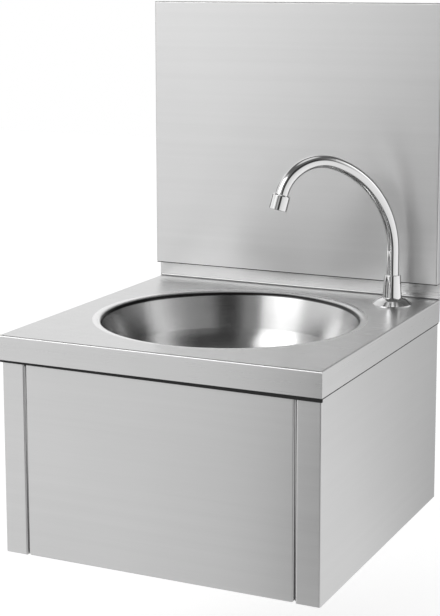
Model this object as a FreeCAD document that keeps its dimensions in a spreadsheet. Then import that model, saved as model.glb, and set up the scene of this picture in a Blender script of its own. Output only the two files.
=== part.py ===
import FreeCAD, Part
import math
import os
import re
import Sketcher

# Wall hung stainless steel hand wash sink worked by the knee: a square deck with a
# round bowl, a tall splash panel on the wall, a folded casing whose middle front plate
# swings in and opens a self-closing valve, and a swan neck spout on the right.
# Millimetres. X to the right, the front faces -Y, Z up. The wall is the plane Y = 0,
# and the origin is the middle of the two wall bolts that carry the sink.

V = FreeCAD.Vector
X_AXIS, Y_AXIS, Z_AXIS = V(1, 0, 0), V(0, 1, 0), V(0, 0, 1)
TURN_Z_TO = {
    "x": FreeCAD.Rotation(Y_AXIS, 90),
    "y": FreeCAD.Rotation(X_AXIS, -90),
    "z": FreeCAD.Rotation(),
}

doc = FreeCAD.newDocument("hand_wash_sink")
sizes = doc.addObject("Spreadsheet::Sheet", "sizes")
pieces = []


# ---------------------------------------------------------------- sizes and formulas

def formula(text):
    """Turns a formula in plain words into an expression on the sheet."""
    def swap(match):
        word = match.group(0)
        if word in derived:
            return "(" + formula(derived[word]) + ")"
        if word in driving:
            return "sizes." + word
        return word
    return re.sub(r"[a-z_]+", swap, text)


def value(text):
    """The present value of a formula."""
    return float(sizes.evalExpression(formula(text)))


def bind(item, path, text):
    item.setExpression(path, formula(text))


def minus(text):
    return f"-({text})"


def opposite(bounds):
    """The same bounds on the other side of the middle plane."""
    low, high = bounds
    return minus(high), minus(low)


# ---------------------------------------------------------------- solid helpers

def place(item, at, rotation=None):
    item.Placement = FreeCAD.Placement(V(), rotation or FreeCAD.Rotation())
    for letter, text in zip("xyz", at):
        bind(item, f"Placement.Base.{letter}", text)
    return item


def slab(label, across, along, upward):
    """Box between two bounds on each axis."""
    block = doc.addObject("Part::Box", label)
    for path, (low, high) in zip(("Length", "Width", "Height"), (across, along, upward)):
        bind(block, path, f"({high}) - ({low})")
    return place(block, (across[0], along[0], upward[0]))


def rod(label, axis, at, radius, length):
    bar = doc.addObject("Part::Cylinder", label)
    bind(bar, "Radius", radius)
    bind(bar, "Height", length)
    return place(bar, at, TURN_Z_TO[axis])


def hexagon(label, axis, at, across_flats, length):
    bar = doc.addObject("Part::Prism", label)
    bar.Polygon = 6
    bind(bar, "Circumradius", f"({across_flats}) / sqrt(3)")
    bind(bar, "Height", length)
    return place(bar, at, TURN_Z_TO[axis])


def cut(label, base, *tools):
    for step, tool in enumerate(tools):
        last = step == len(tools) - 1
        less = doc.addObject("Part::Cut", label if last else f"{label}_cut_{step}")
        less.Base, less.Tool = base, tool
        base = less
    return base


def fuse(label, *parts):
    joined = doc.addObject("Part::MultiFuse", label)
    joined.Shapes = list(parts)
    return joined


def nut(label, axis, at, across_flats, bore, length):
    """Hexagon nut, drawn without its thread."""
    block = hexagon(label + "_hexagon", axis, at, across_flats, length)
    hole = rod(label + "_bore", axis, at, bore, length)
    return cut(label, block, hole)


def keep(piece):
    """Marks a finished sub-part, whose name is its file's name."""
    pieces.append(piece)
    return piece


# ---------------------------------------------------------------- sketch helpers

def origin_plane(body, role):
    return next(plane for plane in body.Origin.OriginFeatures if plane.Role == role)


def sketch_on(body, role, label):
    sketch = body.newObject("Sketcher::SketchObject", label)
    sketch.AttachmentSupport = (origin_plane(body, role), [""])
    sketch.MapMode = "FlatFace"
    return sketch


def fix(sketch, kind, *entries):
    """Adds a dimension whose last entry is a formula."""
    *where, text = entries
    spot = sketch.addConstraint(Sketcher.Constraint(kind, *where, value(text)))
    bind(sketch, f"Constraints[{spot}]", text)


def fix_point(sketch, shape, end, x, y):
    """Sets a point's two distances from the sketch's origin."""
    for kind, text, other_axis in (("DistanceX", x, -2), ("DistanceY", y, -1)):
        if text == "0":
            sketch.addConstraint(Sketcher.Constraint("PointOnObject", shape, end, other_axis))
        else:
            fix(sketch, kind, -1, 1, shape, end, text)


def round_corner(sketch, corner, before, after, line_in, line_out):
    """Tangent arc in a corner whose sharp point stays as a construction point."""
    x, y, radius = corner
    sharp = V(value(x), value(y), 0)
    half = before.getAngle(after) / 2
    reach = value(radius) / math.tan(half)
    centre = sharp + (before + after).normalize() * (value(radius) / math.sin(half))
    turns = [math.atan2(*reversed((sharp + way * reach - centre)[:2])) for way in (before, after)]
    forward = (turns[1] - turns[0]) % (2 * math.pi) < math.pi
    start, stop = turns if forward else reversed(turns)
    circle = Part.Circle(centre, Z_AXIS, value(radius))
    arc = sketch.addGeometry(Part.ArcOfCircle(circle, start, stop))
    first, second = (1, 2) if forward else (2, 1)
    sketch.addConstraint(Sketcher.Constraint("Tangent", line_in, 2, arc, first))
    sketch.addConstraint(Sketcher.Constraint("Tangent", line_out, 1, arc, second))
    fix(sketch, "Radius", arc, radius)
    point = sketch.addGeometry(Part.Point(sharp), True)
    fix_point(sketch, point, 1, x, y)
    for line in (line_in, line_out):
        sketch.addConstraint(Sketcher.Constraint("PointOnObject", point, 1, line))


def draw_outline(sketch, corners):
    """Closed outline through (x, y) corners; a third entry rounds that corner."""
    spots = [V(value(corner[0]), value(corner[1]), 0) for corner in corners]
    count = len(corners)
    ways = []
    for here in range(count):
        before = (spots[here - 1] - spots[here]).normalize()
        after = (spots[(here + 1) % count] - spots[here]).normalize()
        ways.append((before, after))
    ends = []
    for corner, spot, (before, after) in zip(corners, spots, ways):
        reach = 0
        if len(corner) == 3:
            reach = value(corner[2]) / math.tan(before.getAngle(after) / 2)
        ends.append((spot + before * reach, spot + after * reach))
    lines = []
    for here in range(count):
        line = Part.LineSegment(ends[here][1], ends[(here + 1) % count][0])
        lines.append(sketch.addGeometry(line))
    for here, corner in enumerate(corners):
        line_in, line_out = lines[here - 1], lines[here]
        if len(corner) == 3:
            round_corner(sketch, corner, *ways[here], line_in, line_out)
        else:
            sketch.addConstraint(Sketcher.Constraint("Coincident", line_in, 2, line_out, 1))
            fix_point(sketch, line_out, 1, *corner)


def rectangle(across, upward):
    return [(x, y) for x, y in (
        (across[0], upward[0]), (across[1], upward[0]),
        (across[1], upward[1]), (across[0], upward[1]))]


def turned(label, axis, at, corners):
    """Revolved body: corners are (radius, distance along the axis)."""
    body = doc.addObject("PartDesign::Body", label)
    sketch = sketch_on(body, "XZ_Plane", label + "_profile")
    draw_outline(sketch, corners)
    turn = body.newObject("PartDesign::Revolution", label + "_turn")
    turn.Profile = sketch
    turn.ReferenceAxis = (sketch, ["V_Axis"])
    turn.Angle = 360
    sketch.Visibility = False
    return place(body, at, TURN_Z_TO[axis])


def extruded(label, role, at, corners, length, centred=False):
    """Straight prism on one of the body's own planes."""
    body = doc.addObject("PartDesign::Body", label)
    sketch = sketch_on(body, role, label + "_profile")
    draw_outline(sketch, corners)
    pad = body.newObject("PartDesign::Pad", label + "_pad")
    pad.Profile = sketch
    pad.Midplane = centred
    bind(pad, "Length", length)
    return place(body, at)


def hollow(body, label, role, corners, length, reverse):
    """Pocket that leaves the walls of a folded tray."""
    sketch = sketch_on(body, role, label + "_profile")
    draw_outline(sketch, corners)
    pocket = body.newObject("PartDesign::Pocket", label)
    pocket.Profile = sketch
    pocket.Reversed = reverse
    bind(pocket, "Length", length)
    return pocket


def round_edges(body, label, radius, test):
    """Fillet on the edges of the body's tip whose middle passes the test."""
    doc.recompute()
    tip = body.Tip
    names = []
    for number, edge in enumerate(tip.Shape.Edges, 1):
        first, last = edge.ParameterRange
        if test(edge.valueAt((first + last) / 2), edge.BoundBox):
            names.append(f"Edge{number}")
    fold = body.newObject("PartDesign::Fillet", label)
    fold.Base = (tip, names)
    bind(fold, "Radius", radius)
    return fold


def near(first, second):
    return abs(first - second) < 0.01


# ---------------------------------------------------------------- driving dimensions

driving = {
    # overall sizes, taken from the photograph against a deck 400 wide
    "width": 400,
    "depth": 402,
    "deck_top": 60,
    "fascia": 29,
    "casing_below_outlet": 54.5,
    "upstand": 45,
    "splash_lift": 21.4,
    "splash_rise": 374,
    "splash_depth": 13,

    # sheet metal
    "deck_sheet": 1.5,
    "casing_sheet": 1.2,
    "rail_sheet": 2,
    "fold": 2,
    "splash_fold": 1.8,
    "upstand_fold": 3,
    "skirt_gap": 0.5,
    "front_gap": 2.5,
    "strip": 29,
    "return_depth": 16,
    "rear_flange": 30,

    # bowl
    "bowl_land_front": 34,
    "bowl_land_back": 36,
    "rim_round": 8,
    "rim_land": 2,
    "bowl_depth": 140,
    "bowl_taper": 20,
    "bowl_flank_rise": 66,
    "bowl_flank_taper": 44,
    "floor_fall": 18.5,
    "bowl_waist_round": 110,
    "bowl_corner": 90,
    "recess_radius": 33,
    "recess_depth": 2,

    # fits
    "fit": 0.1,
    "seat": 0.3,
    "moulded_edge": 2,

    # wall rails
    "bracket_set_in": 50,
    "bracket_reach": 12,
    "bracket_step": 12,
    "bracket_lip": 10,
    "bracket_low": 16,
    "bolt_from_end": 30,
    "bolt_hole": 4.5,
    "rail_front": 13,
    "rail_low": 25,
    "tie_rise": 18,
    "tie_lift": 3,
    "tie_depth": 15,
    "splash_rail_set_in": 70,
    "splash_rail_drop": 34,
    "splash_rail_reach": 8,
    "splash_hook_low": 20,
    "spacer_width": 30,
    "spacer_rise": 16,
    "spacer_from_edge": 45,

    # knee panel
    "knee_gap": 2,
    "knee_corner": 3,
    "knee_top_drop": 20,
    "pivot_drop": 24,
    "pivot_back": 10,
    "pivot_radius": 3,
    "pivot_head": 5.5,
    "pivot_head_length": 2.5,
    "pivot_reach": 4,
    "pivot_washer_radius": 6.5,
    "pad_half": 14,
    "pad_cover": 8.2,
    "pad_lip": 3,
    "stud_radius": 2,
    "stud_length": 9,
    "stud_offset": 21,
    "pad_foot": 4,
    "stud_nut_flats": 8,
    "stud_nut": 3.2,

    # self-closing valve
    "valve_above_bottom": 55.5,
    "valve_rail_set": 54,
    "valve_rail_rise": 66,
    "valve_rail_flange": 14,
    "valve_radius": 19,
    "valve_length": 50,
    "valve_wall": 5,
    "neck_radius": 12,
    "neck_length": 14,
    "neck_bore": 7,
    "valve_nut_flats": 32,
    "valve_nut": 6,
    "bonnet_flats": 22,
    "bonnet_length": 6,
    "bonnet_plug": 8,
    "stem_radius": 5,
    "button_radius": 9,
    "button_length": 4,
    "button_dome": 1.2,
    "piston_set": 6,
    "piston_length": 6,
    "seal_length": 3,
    "seal_seat": 9,
    "spring_wire": 1.6,
    "cap_flats": 36,
    "cap_length": 5,
    "cap_plug": 6,
    "port_set": 25,
    "port_radius": 9,
    "port_end": 25,

    # mixer
    "mixer_radius": 14,
    "mixer_bore": 9,
    "mixer_start": 41,
    "mixer_end": 112,
    "mixer_floor": 8,
    "spigot_bore": 5,
    "union_flats": 24,
    "union_length": 12,
    "inlet_near": 60,
    "inlet_far": 94,
    "inlet_boss": 11,
    "inlet_boss_length": 20,
    "inlet_bore": 7,
    "inlet_flats": 24,
    "inlet_hex": 9,
    "inlet_thread": 10.475,
    "inlet_thread_length": 14,
    "spindle_radius": 4,
    "rotor_radius": 8.7,
    "rotor_length": 40,
    "knob_radius": 13,
    "knob_length": 14,
    "knob_gap": 4,

    # outlet pipe
    "pipe_radius": 6,
    "pipe_wall": 1,
    "pipe_bend": 25,
    "pipe_entry": 7,
    "pipe_nut_flats": 20,
    "pipe_nut": 13,

    # tap
    "tap_from_side": 47,
    "tap_from_wall": 50,
    "tap_hole": 14,
    "gasket": 1.5,
    "tap_flange_radius": 16.5,
    "tap_flange": 2,
    "tap_neck_radius": 10,
    "tap_neck_rise": 22,
    "shank_radius": 13.5,
    "shank_length": 48,
    "foot_clearance": 0.6,
    "foot_radius": 10,
    "foot_length": 9.4,
    "tail_plug": 14,
    "tail_flange": 3,
    "oring_upper": 10,
    "oring_lower": 18,
    "oring_wire": 0.95,
    "rosette_radius": 25,
    "rosette_rise": 8.5,
    "rosette_edge": 1.2,
    "rosette_shoulder": 18,
    "rosette_shoulder_rise": 6.2,
    "rosette_sweep": 4.8,
    "collar_foot": 12,
    "collar_head": 10.4,
    "collar_rise": 37.5,
    "tap_washer_radius": 21,
    "tap_washer": 2,
    "tap_nut_flats": 36,
    "tap_nut": 8,

    # spout
    "spout_radius": 8,
    "spout_wall": 1,
    "spout_rise": 68.3,
    "first_bend": 119.2,
    "first_sweep": 72,
    "second_bend": 52.6,
    "second_sweep": 92.5,
    "spout_turn": -135.3,
    "swivel": 35,
    "stop_pin_radius": 1.5,
    "stop_pin_reach": 2,
    "stop_spare": 1,
    "aerator_radius": 11,
    "aerator_length": 19,
    "aerator_grip": 4,
    "aerator_bore": 9.6,
    "aerator_shoulder": 1.5,
    "jet_radius": 1.5,
    "jet_ring": 5.8,
    "jets_around": 6,

    # waste and trap
    "waste_bore": 17,
    "waste_tube": 20.9,
    "waste_flange_radius": 31,
    "waste_tail": 36,
    "strainer_radius": 28.3,
    "strainer_sheet": 1,
    "strainer_hole": 2.6,
    "strainer_ring": 11.5,
    "strainer_holes": 8,
    "screw_radius": 2.5,
    "screw_head": 4.5,
    "screw_head_rise": 1.8,
    "screw_length": 12,
    "bridge_width": 8,
    "bridge_rise": 5,
    "bridge_drop": 6,
    "waste_seal_radius": 30,
    "waste_seal": 3,
    "waste_nut_flats": 54,
    "waste_nut": 8,
    "trap_collar": 3,
    "trap_inlet_radius": 17.2,
    "trap_inlet_bore": 15,
    "trap_neck": 8,
    "trap_nut_radius": 26,
    "trap_nut_rise": 13,
    "trap_nut_lip": 2.5,
    "bottle_radius": 35,
    "bottle_wall": 3,
    "bottle_length": 54,
    "dip_length": 70,
    "cup_wall": 3.4,
    "cup_overlap": 12,
    "cup_length": 31,
    "trap_outlet_drop": 30,
    "trap_outlet_radius": 17.5,
    "trap_outlet_reach": 52,
    "trap_outlet_nut_radius": 22,
    "trap_outlet_nut": 14,
    "trap_outlet_grip": 6,
    "waste_pipe_radius": 16,
    "waste_pipe_wall": 2,
    "waste_pipe_entry": 12,
    "cover_radius": 29,
    "cover_length": 4,
}

# ---------------------------------------------------------------- shared places

derived = {
    "half": "width / 2",
    "casing_half": "half - deck_sheet - skirt_gap",
    "casing_inside": "casing_half - casing_sheet",
    "front": "-(depth - deck_sheet - front_gap)",
    "front_inside": "front + casing_sheet",
    "deck_under": "deck_top - deck_sheet",
    "trap_top": "deck_top - bowl_depth - waste_tail",
    "outlet_z": "trap_top - trap_outlet_drop",
    "casing_bottom": "outlet_z - casing_below_outlet",
    "strip_edge": "casing_half - strip",
    "knee_half": "strip_edge - knee_gap",
    "knee_top": "deck_top - knee_top_drop",
    "pivot_y": "front + pivot_back",
    "pivot_z": "deck_top - pivot_drop",
    "rim_outer": "(depth - bowl_land_front - bowl_land_back) / 2",
    "bowl_y": "-bowl_land_back - rim_outer",
    "bowl_radius": "rim_outer - rim_land - rim_round",
    "waist_radius": "bowl_radius - bowl_taper",
    "floor_radius": "waist_radius - bowl_flank_taper",
    "recess_top": "bowl_depth - recess_depth",
    "bowl_waist": "recess_top - bowl_flank_rise",
    "bowl_wall": "recess_top - floor_fall",
    "bracket_length": "width - 2 * bracket_set_in",
    "bolt_spacing": "bracket_length - 2 * bolt_from_end",
    "splash_rail_length": "width - 2 * splash_rail_set_in",
    "splash_back": "-(splash_depth - casing_sheet)",
    "tap_x": "half - tap_from_side",
    "tap_y": "-tap_from_wall",
    "foot_drop": "shank_length - tail_plug - foot_clearance - foot_length",
    "valve_z": "casing_bottom + valve_above_bottom",
    "web_front": "front + valve_rail_set",
    "web_back": "web_front + rail_sheet",
    "port_y": "web_back + port_set",
    "button_front": "front_inside + pad_cover + seat",
    "button_back": "button_front + button_length",
    "pad_back": "button_back + 3 * seat + pad_lip",
    "button_out": "web_back - button_front",
}

for row, (alias, amount) in enumerate(driving.items(), 1):
    sizes.set(f"A{row}", str(amount))
    sizes.setAlias(f"A{row}", alias)
doc.recompute()

# ---------------------------------------------------------------- deck and bowl


def make_deck():
    """Square top with its skirt on three sides and the upstand folded up at the wall."""
    body = extruded("deck", "XY_Plane", ("0", "0", "deck_top - fascia"),
                    rectangle(("-half", "half"), ("-depth", "0")), "fascia")
    top, back = value("fascia"), 0
    round_edges(body, "deck_folds", "fold",
                lambda middle, box: near(box.ZMin, top) and near(box.ZMax, top)
                and not near(middle.y, back))
    hollow(body, "deck_hollow", "XY_Plane",
           rectangle(("-half + deck_sheet", "half - deck_sheet"),
                     ("-depth + deck_sheet", "fold")), "fascia - deck_sheet", True)
    upstand = sketch_on(body, "XZ_Plane", "upstand_profile")
    draw_outline(upstand, rectangle(("-half", "half"), ("fascia - deck_sheet", "fascia + upstand")))
    pad = body.newObject("PartDesign::Pad", "upstand_pad")
    pad.Profile = upstand
    bind(pad, "Length", "deck_sheet")
    cove = sketch_on(body, "YZ_Plane", "cove_profile")
    edge = "-deck_sheet - 2 * upstand_fold"
    draw_outline(cove, [
        (edge, "fascia - deck_sheet"), ("0", "fascia - deck_sheet"), ("0", "fascia + upstand"),
        ("-deck_sheet", "fascia + upstand"), ("-deck_sheet", "fascia", "upstand_fold"),
        (edge, "fascia")])
    pad = body.newObject("PartDesign::Pad", "cove_pad")
    pad.Profile = cove
    pad.Midplane = True
    bind(pad, "Length", "width - 2 * fold")
    holes = sketch_on(body, "XY_Plane", "deck_holes_profile")
    for x, y, radius in (("0", "bowl_y", "rim_outer"), ("tap_x", "tap_y", "tap_hole")):
        circle = Part.Circle(V(value(x), value(y), 0), Z_AXIS, value(radius))
        ring = holes.addGeometry(circle)
        fix_point(holes, ring, 3, x, y)
        fix(holes, "Radius", ring, radius)
    pocket = body.newObject("PartDesign::Pocket", "deck_holes")
    pocket.Profile = holes
    pocket.Reversed = True
    bind(pocket, "Length", "fascia")
    keep(body)


def make_bowl():
    """Pressed round bowl, butt welded into the deck, with a stepped seat for the waste."""
    keep(turned("bowl", "z", ("0", "bowl_y", "deck_top"), [
        ("rim_outer", "0"),
        ("bowl_radius", "0", "rim_round"),
        ("waist_radius", "-bowl_waist", "bowl_waist_round"),
        ("floor_radius", "-bowl_wall", "bowl_corner"),
        ("recess_radius", "-recess_top"),
        ("recess_radius", "-bowl_depth"),
        ("waste_tube + seat", "-bowl_depth"),
        ("waste_tube + seat", "-bowl_depth - deck_sheet"),
        ("recess_radius + deck_sheet", "-bowl_depth - deck_sheet"),
        ("recess_radius + deck_sheet", "-recess_top - deck_sheet"),
        ("floor_radius + deck_sheet", "-bowl_wall - deck_sheet", "bowl_corner + deck_sheet"),
        ("waist_radius + deck_sheet", "-bowl_waist - deck_sheet", "bowl_waist_round + deck_sheet"),
        ("bowl_radius + deck_sheet", "-deck_sheet", "rim_round - deck_sheet"),
        ("rim_outer", "-deck_sheet"),
    ]))


# ---------------------------------------------------------------- casing

def make_side_panel(label, side):
    """Side sheet with a front strip, the strip's return and a flange on the wall."""
    def x(text):
        return text if side > 0 else minus(text)
    sheet = extruded(label + "_sheet", "XY_Plane", ("0", "0", "casing_bottom"), [
        (x("strip_edge"), "front + return_depth"),
        (x("strip_edge"), "front", "fold"),
        (x("casing_half"), "front", "fold"),
        (x("casing_half"), "0", "fold"),
        (x("casing_half - rear_flange"), "0"),
        (x("casing_half - rear_flange"), "-casing_sheet"),
        (x("casing_inside"), "-casing_sheet", "fold - casing_sheet"),
        (x("casing_inside"), "front_inside", "fold - casing_sheet"),
        (x("strip_edge + casing_sheet"), "front_inside", "fold - casing_sheet"),
        (x("strip_edge + casing_sheet"), "front + return_depth"),
    ], "deck_under - casing_bottom")
    low = "strip_edge - fit" if side > 0 else "-strip_edge - casing_sheet - fit"
    hole = rod(label + "_pivot_hole", "x", (low, "pivot_y", "pivot_z"),
               "pivot_radius", "casing_sheet + 2 * fit")
    keep(cut(label, sheet, hole))


def make_wall_bracket():
    """Z section bolted to the wall; the casing's rail drops over its lip."""
    blank = z_section("wall_bracket_blank", "bracket_reach", "rail_sheet", "-bracket_low",
                      "bracket_step", "bracket_step + bracket_lip", "bracket_length")
    holes = [rod(f"bolt_hole_{side}", "y", (f"{side} * bolt_spacing / 2", "-rail_sheet - fit", "0"),
                 "bolt_hole", "rail_sheet + 2 * fit") for side in (-1, 1)]
    keep(cut("wall_bracket", blank, *holes))


def z_section(label, reach, sheet, low, step, top, length):
    """Wall leg, step away from the wall and upright lip."""
    return extruded(label, "YZ_Plane", ("0", "0", "0"), [
        ("0", low), ("0", step), (f"-({reach} - {sheet})", step), (f"-({reach} - {sheet})", top),
        (f"-{reach}", top), (f"-{reach}", f"{step} - {sheet}"),
        (f"-{sheet}", f"{step} - {sheet}"), (f"-{sheet}", low),
    ], length, True)


def hook_section(label, reach, sheet, face, low, step, top, own, length):
    """Hook that drops over the lip of a Z section; its front leg stands at the face."""
    back = f"(-{reach} + {sheet} + seat)"
    return extruded(label, "YZ_Plane", ("0", "0", "0"), [
        (f"{face} - {own}", low), (f"{face} - {own}", f"{top} + {own}"),
        (f"{back} + {own}", f"{top} + {own}"), (f"{back} + {own}", f"{step} + seat"),
        (back, f"{step} + seat"), (back, top), (face, top), (face, low),
    ], length, True)


def make_rails():
    """Rail that hangs the casing, and the lower tie that keeps it square."""
    keep(hook_section("hanging_rail", "bracket_reach", "rail_sheet", "-rail_front", "-rail_low",
                      "bracket_step", "(bracket_step + bracket_lip)", "rail_sheet",
                      "2 * casing_inside"))
    web = "-casing_sheet - rail_sheet"
    low, high = "casing_bottom + tie_lift", "casing_bottom + tie_lift + tie_rise"
    keep(extruded("rear_tie", "YZ_Plane", ("0", "0", "0"), [
        ("-casing_sheet", low), ("-casing_sheet", high),
        ("-casing_sheet - tie_depth", high), ("-casing_sheet - tie_depth", f"{high} - rail_sheet"),
        (web, f"{high} - rail_sheet"), (web, f"{low} + rail_sheet"),
        ("-casing_sheet - tie_depth", f"{low} + rail_sheet"), ("-casing_sheet - tie_depth", low),
    ], "2 * (casing_inside - fold)", True))


# ---------------------------------------------------------------- splash panel

def make_splash():
    """Tall tray on the wall, hung on a rail at the top and spaced off the upstand."""
    low, high = "deck_top + splash_lift", "deck_top + splash_rise"
    body = extruded("splash_tray", "XZ_Plane", ("0", "0", "0"),
                    rectangle(("-half", "half"), (low, high)), "splash_depth")
    face, foot = value("-splash_depth"), value(low)
    round_edges(body, "splash_folds", "splash_fold",
                lambda middle, box: near(box.YMin, face) and near(box.YMax, face)
                and not near(middle.z, foot))
    hollow(body, "splash_hollow", "XZ_Plane",
           rectangle(("-half + casing_sheet", "half - casing_sheet"),
                     (f"{low} - fold", f"{high} - casing_sheet")),
           "splash_depth - casing_sheet", True)
    notch = slab("upstand_notch", ("-width", "width"), ("-deck_sheet - seat", "fold"),
                 (f"{low} - fold", "deck_top + upstand + seat"))
    keep(cut("splash_panel", body, notch))
    step = f"({high} - splash_rail_drop)"
    keep(z_section("splash_rail", "splash_rail_reach", "deck_sheet", f"{step} - bracket_low",
                   step, f"({step} + bracket_lip)", "splash_rail_length"))
    keep(hook_section("splash_hook", "splash_rail_reach", "deck_sheet",
                      "(splash_back + deck_sheet)", f"{step} - splash_hook_low", step,
                      f"({step} + bracket_lip)", "deck_sheet", "splash_rail_length"))
    near_side = ("half - spacer_from_edge - spacer_width", "half - spacer_from_edge")
    blocks = [slab(f"spacer_{number}", across, ("splash_back", "-deck_sheet"),
                   (f"{low} + seat", f"{low} + seat + spacer_rise"))
              for number, across in enumerate((near_side, opposite(near_side)))]
    keep(fuse("splash_spacers", *blocks))


# ---------------------------------------------------------------- knee panel

def make_knee_panel():
    """Front plate folded in on three sides; its returns carry the pivot holes."""
    body = extruded("knee_panel_blank", "XZ_Plane", ("0", "front + return_depth", "0"), [
        ("-knee_half", "casing_bottom", "knee_corner"), ("knee_half", "casing_bottom", "knee_corner"),
        ("knee_half", "knee_top"), ("-knee_half", "knee_top")], "return_depth")
    face, top = value("-return_depth"), value("knee_top")
    round_edges(body, "knee_folds", "fold",
                lambda middle, box: near(box.YMin, face) and near(box.YMax, face)
                and not near(middle.z, top))
    hollow(body, "knee_hollow", "XZ_Plane",
           rectangle(("-knee_half + casing_sheet", "knee_half - casing_sheet"),
                     ("casing_bottom + casing_sheet", "knee_top + fold")),
           "return_depth - casing_sheet", True)
    hole = rod("knee_pivot_hole", "x", ("-half", "pivot_y", "pivot_z"), "pivot_radius + fit", "width")
    keep(cut("knee_panel", body, hole))


def make_pivots():
    """Shoulder pins through the returns, each with a nylon washer in the gap."""
    discs = []
    for label, side in (("left", -1), ("right", 1)):
        x = (lambda text: text) if side > 0 else minus
        tip, head = x("knee_half - pivot_reach"), x("strip_edge + casing_sheet")
        inner, outer = (tip, head) if side > 0 else (head, tip)
        shank = rod(f"pivot_shank_{label}", "x", (inner, "pivot_y", "pivot_z"), "pivot_radius",
                    f"({outer}) - ({inner})")
        start = head if side > 0 else f"({head}) - pivot_head_length"
        cap = rod(f"pivot_head_{label}", "x", (start, "pivot_y", "pivot_z"), "pivot_head",
                  "pivot_head_length")
        keep(fuse(f"pivot_pin_{label}", shank, cap))
        low, high = "knee_half + fit", "strip_edge - fit"
        start, _ = (low, high) if side > 0 else opposite((low, high))
        disc = rod(f"pivot_disc_{label}", "x", (start, "pivot_y", "pivot_z"),
                   "pivot_washer_radius", "knee_gap - 2 * fit")
        bore = rod(f"pivot_disc_bore_{label}", "x", (start, "pivot_y", "pivot_z"),
                   "pivot_radius + fit", "knee_gap - 2 * fit")
        discs.append(cut(f"pivot_ring_{label}", disc, bore))
    keep(fuse("pivot_washers", *discs))


def make_knee_pad():
    """Nylon block on the panel's back that holds the valve's button in a slot."""
    block = slab("pad_block", ("-pad_half", "pad_half"),
                 ("front_inside", "pad_back"),
                 ("valve_z - pad_half", "valve_z + pad_half"))
    foot = slab("pad_foot_plate", ("-stud_offset - pad_half / 2", "stud_offset + pad_half / 2"),
                ("front_inside", "front_inside + pad_foot"),
                ("valve_z - pad_half / 2", "valve_z + pad_half / 2"))
    room = "(button_radius + 3 * seat)"
    slot = slab("pad_slot", (f"-{room}", room),
                ("button_front - seat", "button_back + 3 * seat"),
                ("valve_z - pad_half - seat", f"valve_z + {room}"))
    way = "(stem_radius + 3 * seat)"
    throat = slab("pad_throat", (f"-{way}", way),
                  ("button_back", "pad_back + seat"),
                  ("valve_z - pad_half - seat", f"valve_z + {way}"))
    studs = []
    nuts = []
    bores = []
    for side in (-1, 1):
        at = (f"{side} * stud_offset", "front_inside", "valve_z")
        studs.append(rod(f"stud_{side}", "y", at, "stud_radius", "stud_length"))
        bores.append(rod(f"stud_bore_{side}", "y", at, "stud_radius + fit", "pad_foot"))
        seat_at = (f"{side} * stud_offset", "front_inside + pad_foot", "valve_z")
        nuts.append(nut(f"stud_nut_{side}", "y", seat_at, "stud_nut_flats",
                        "stud_radius + fit / 2", "stud_nut"))
    pad = fuse("pad_blank", block, foot)
    keep(cut("knee_pad", pad, slot, throat, *bores))
    keep(fuse("knee_pad_studs", *studs))
    keep(fuse("knee_pad_nuts", *nuts))


# ---------------------------------------------------------------- self-closing valve

def make_valve_rail():
    """Channel between the side sheets; the valve's neck passes through its web."""
    low, high = "valve_z - valve_rail_rise / 2", "valve_z + valve_rail_rise / 2"
    back = "web_front + valve_rail_flange"
    blank = extruded("valve_rail_blank", "YZ_Plane", ("0", "0", "0"), [
        ("web_front", low), ("web_front", high), (back, high), (back, f"{high} - rail_sheet"),
        ("web_back", f"{high} - rail_sheet"), ("web_back", f"{low} + rail_sheet"),
        (back, f"{low} + rail_sheet"), (back, low),
    ], "2 * casing_inside", True)
    hole = rod("valve_rail_hole", "y", ("0", "web_front - fit", "valve_z"), "neck_radius + fit",
               "rail_sheet + 2 * fit")
    keep(cut("valve_rail", blank, hole))


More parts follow.
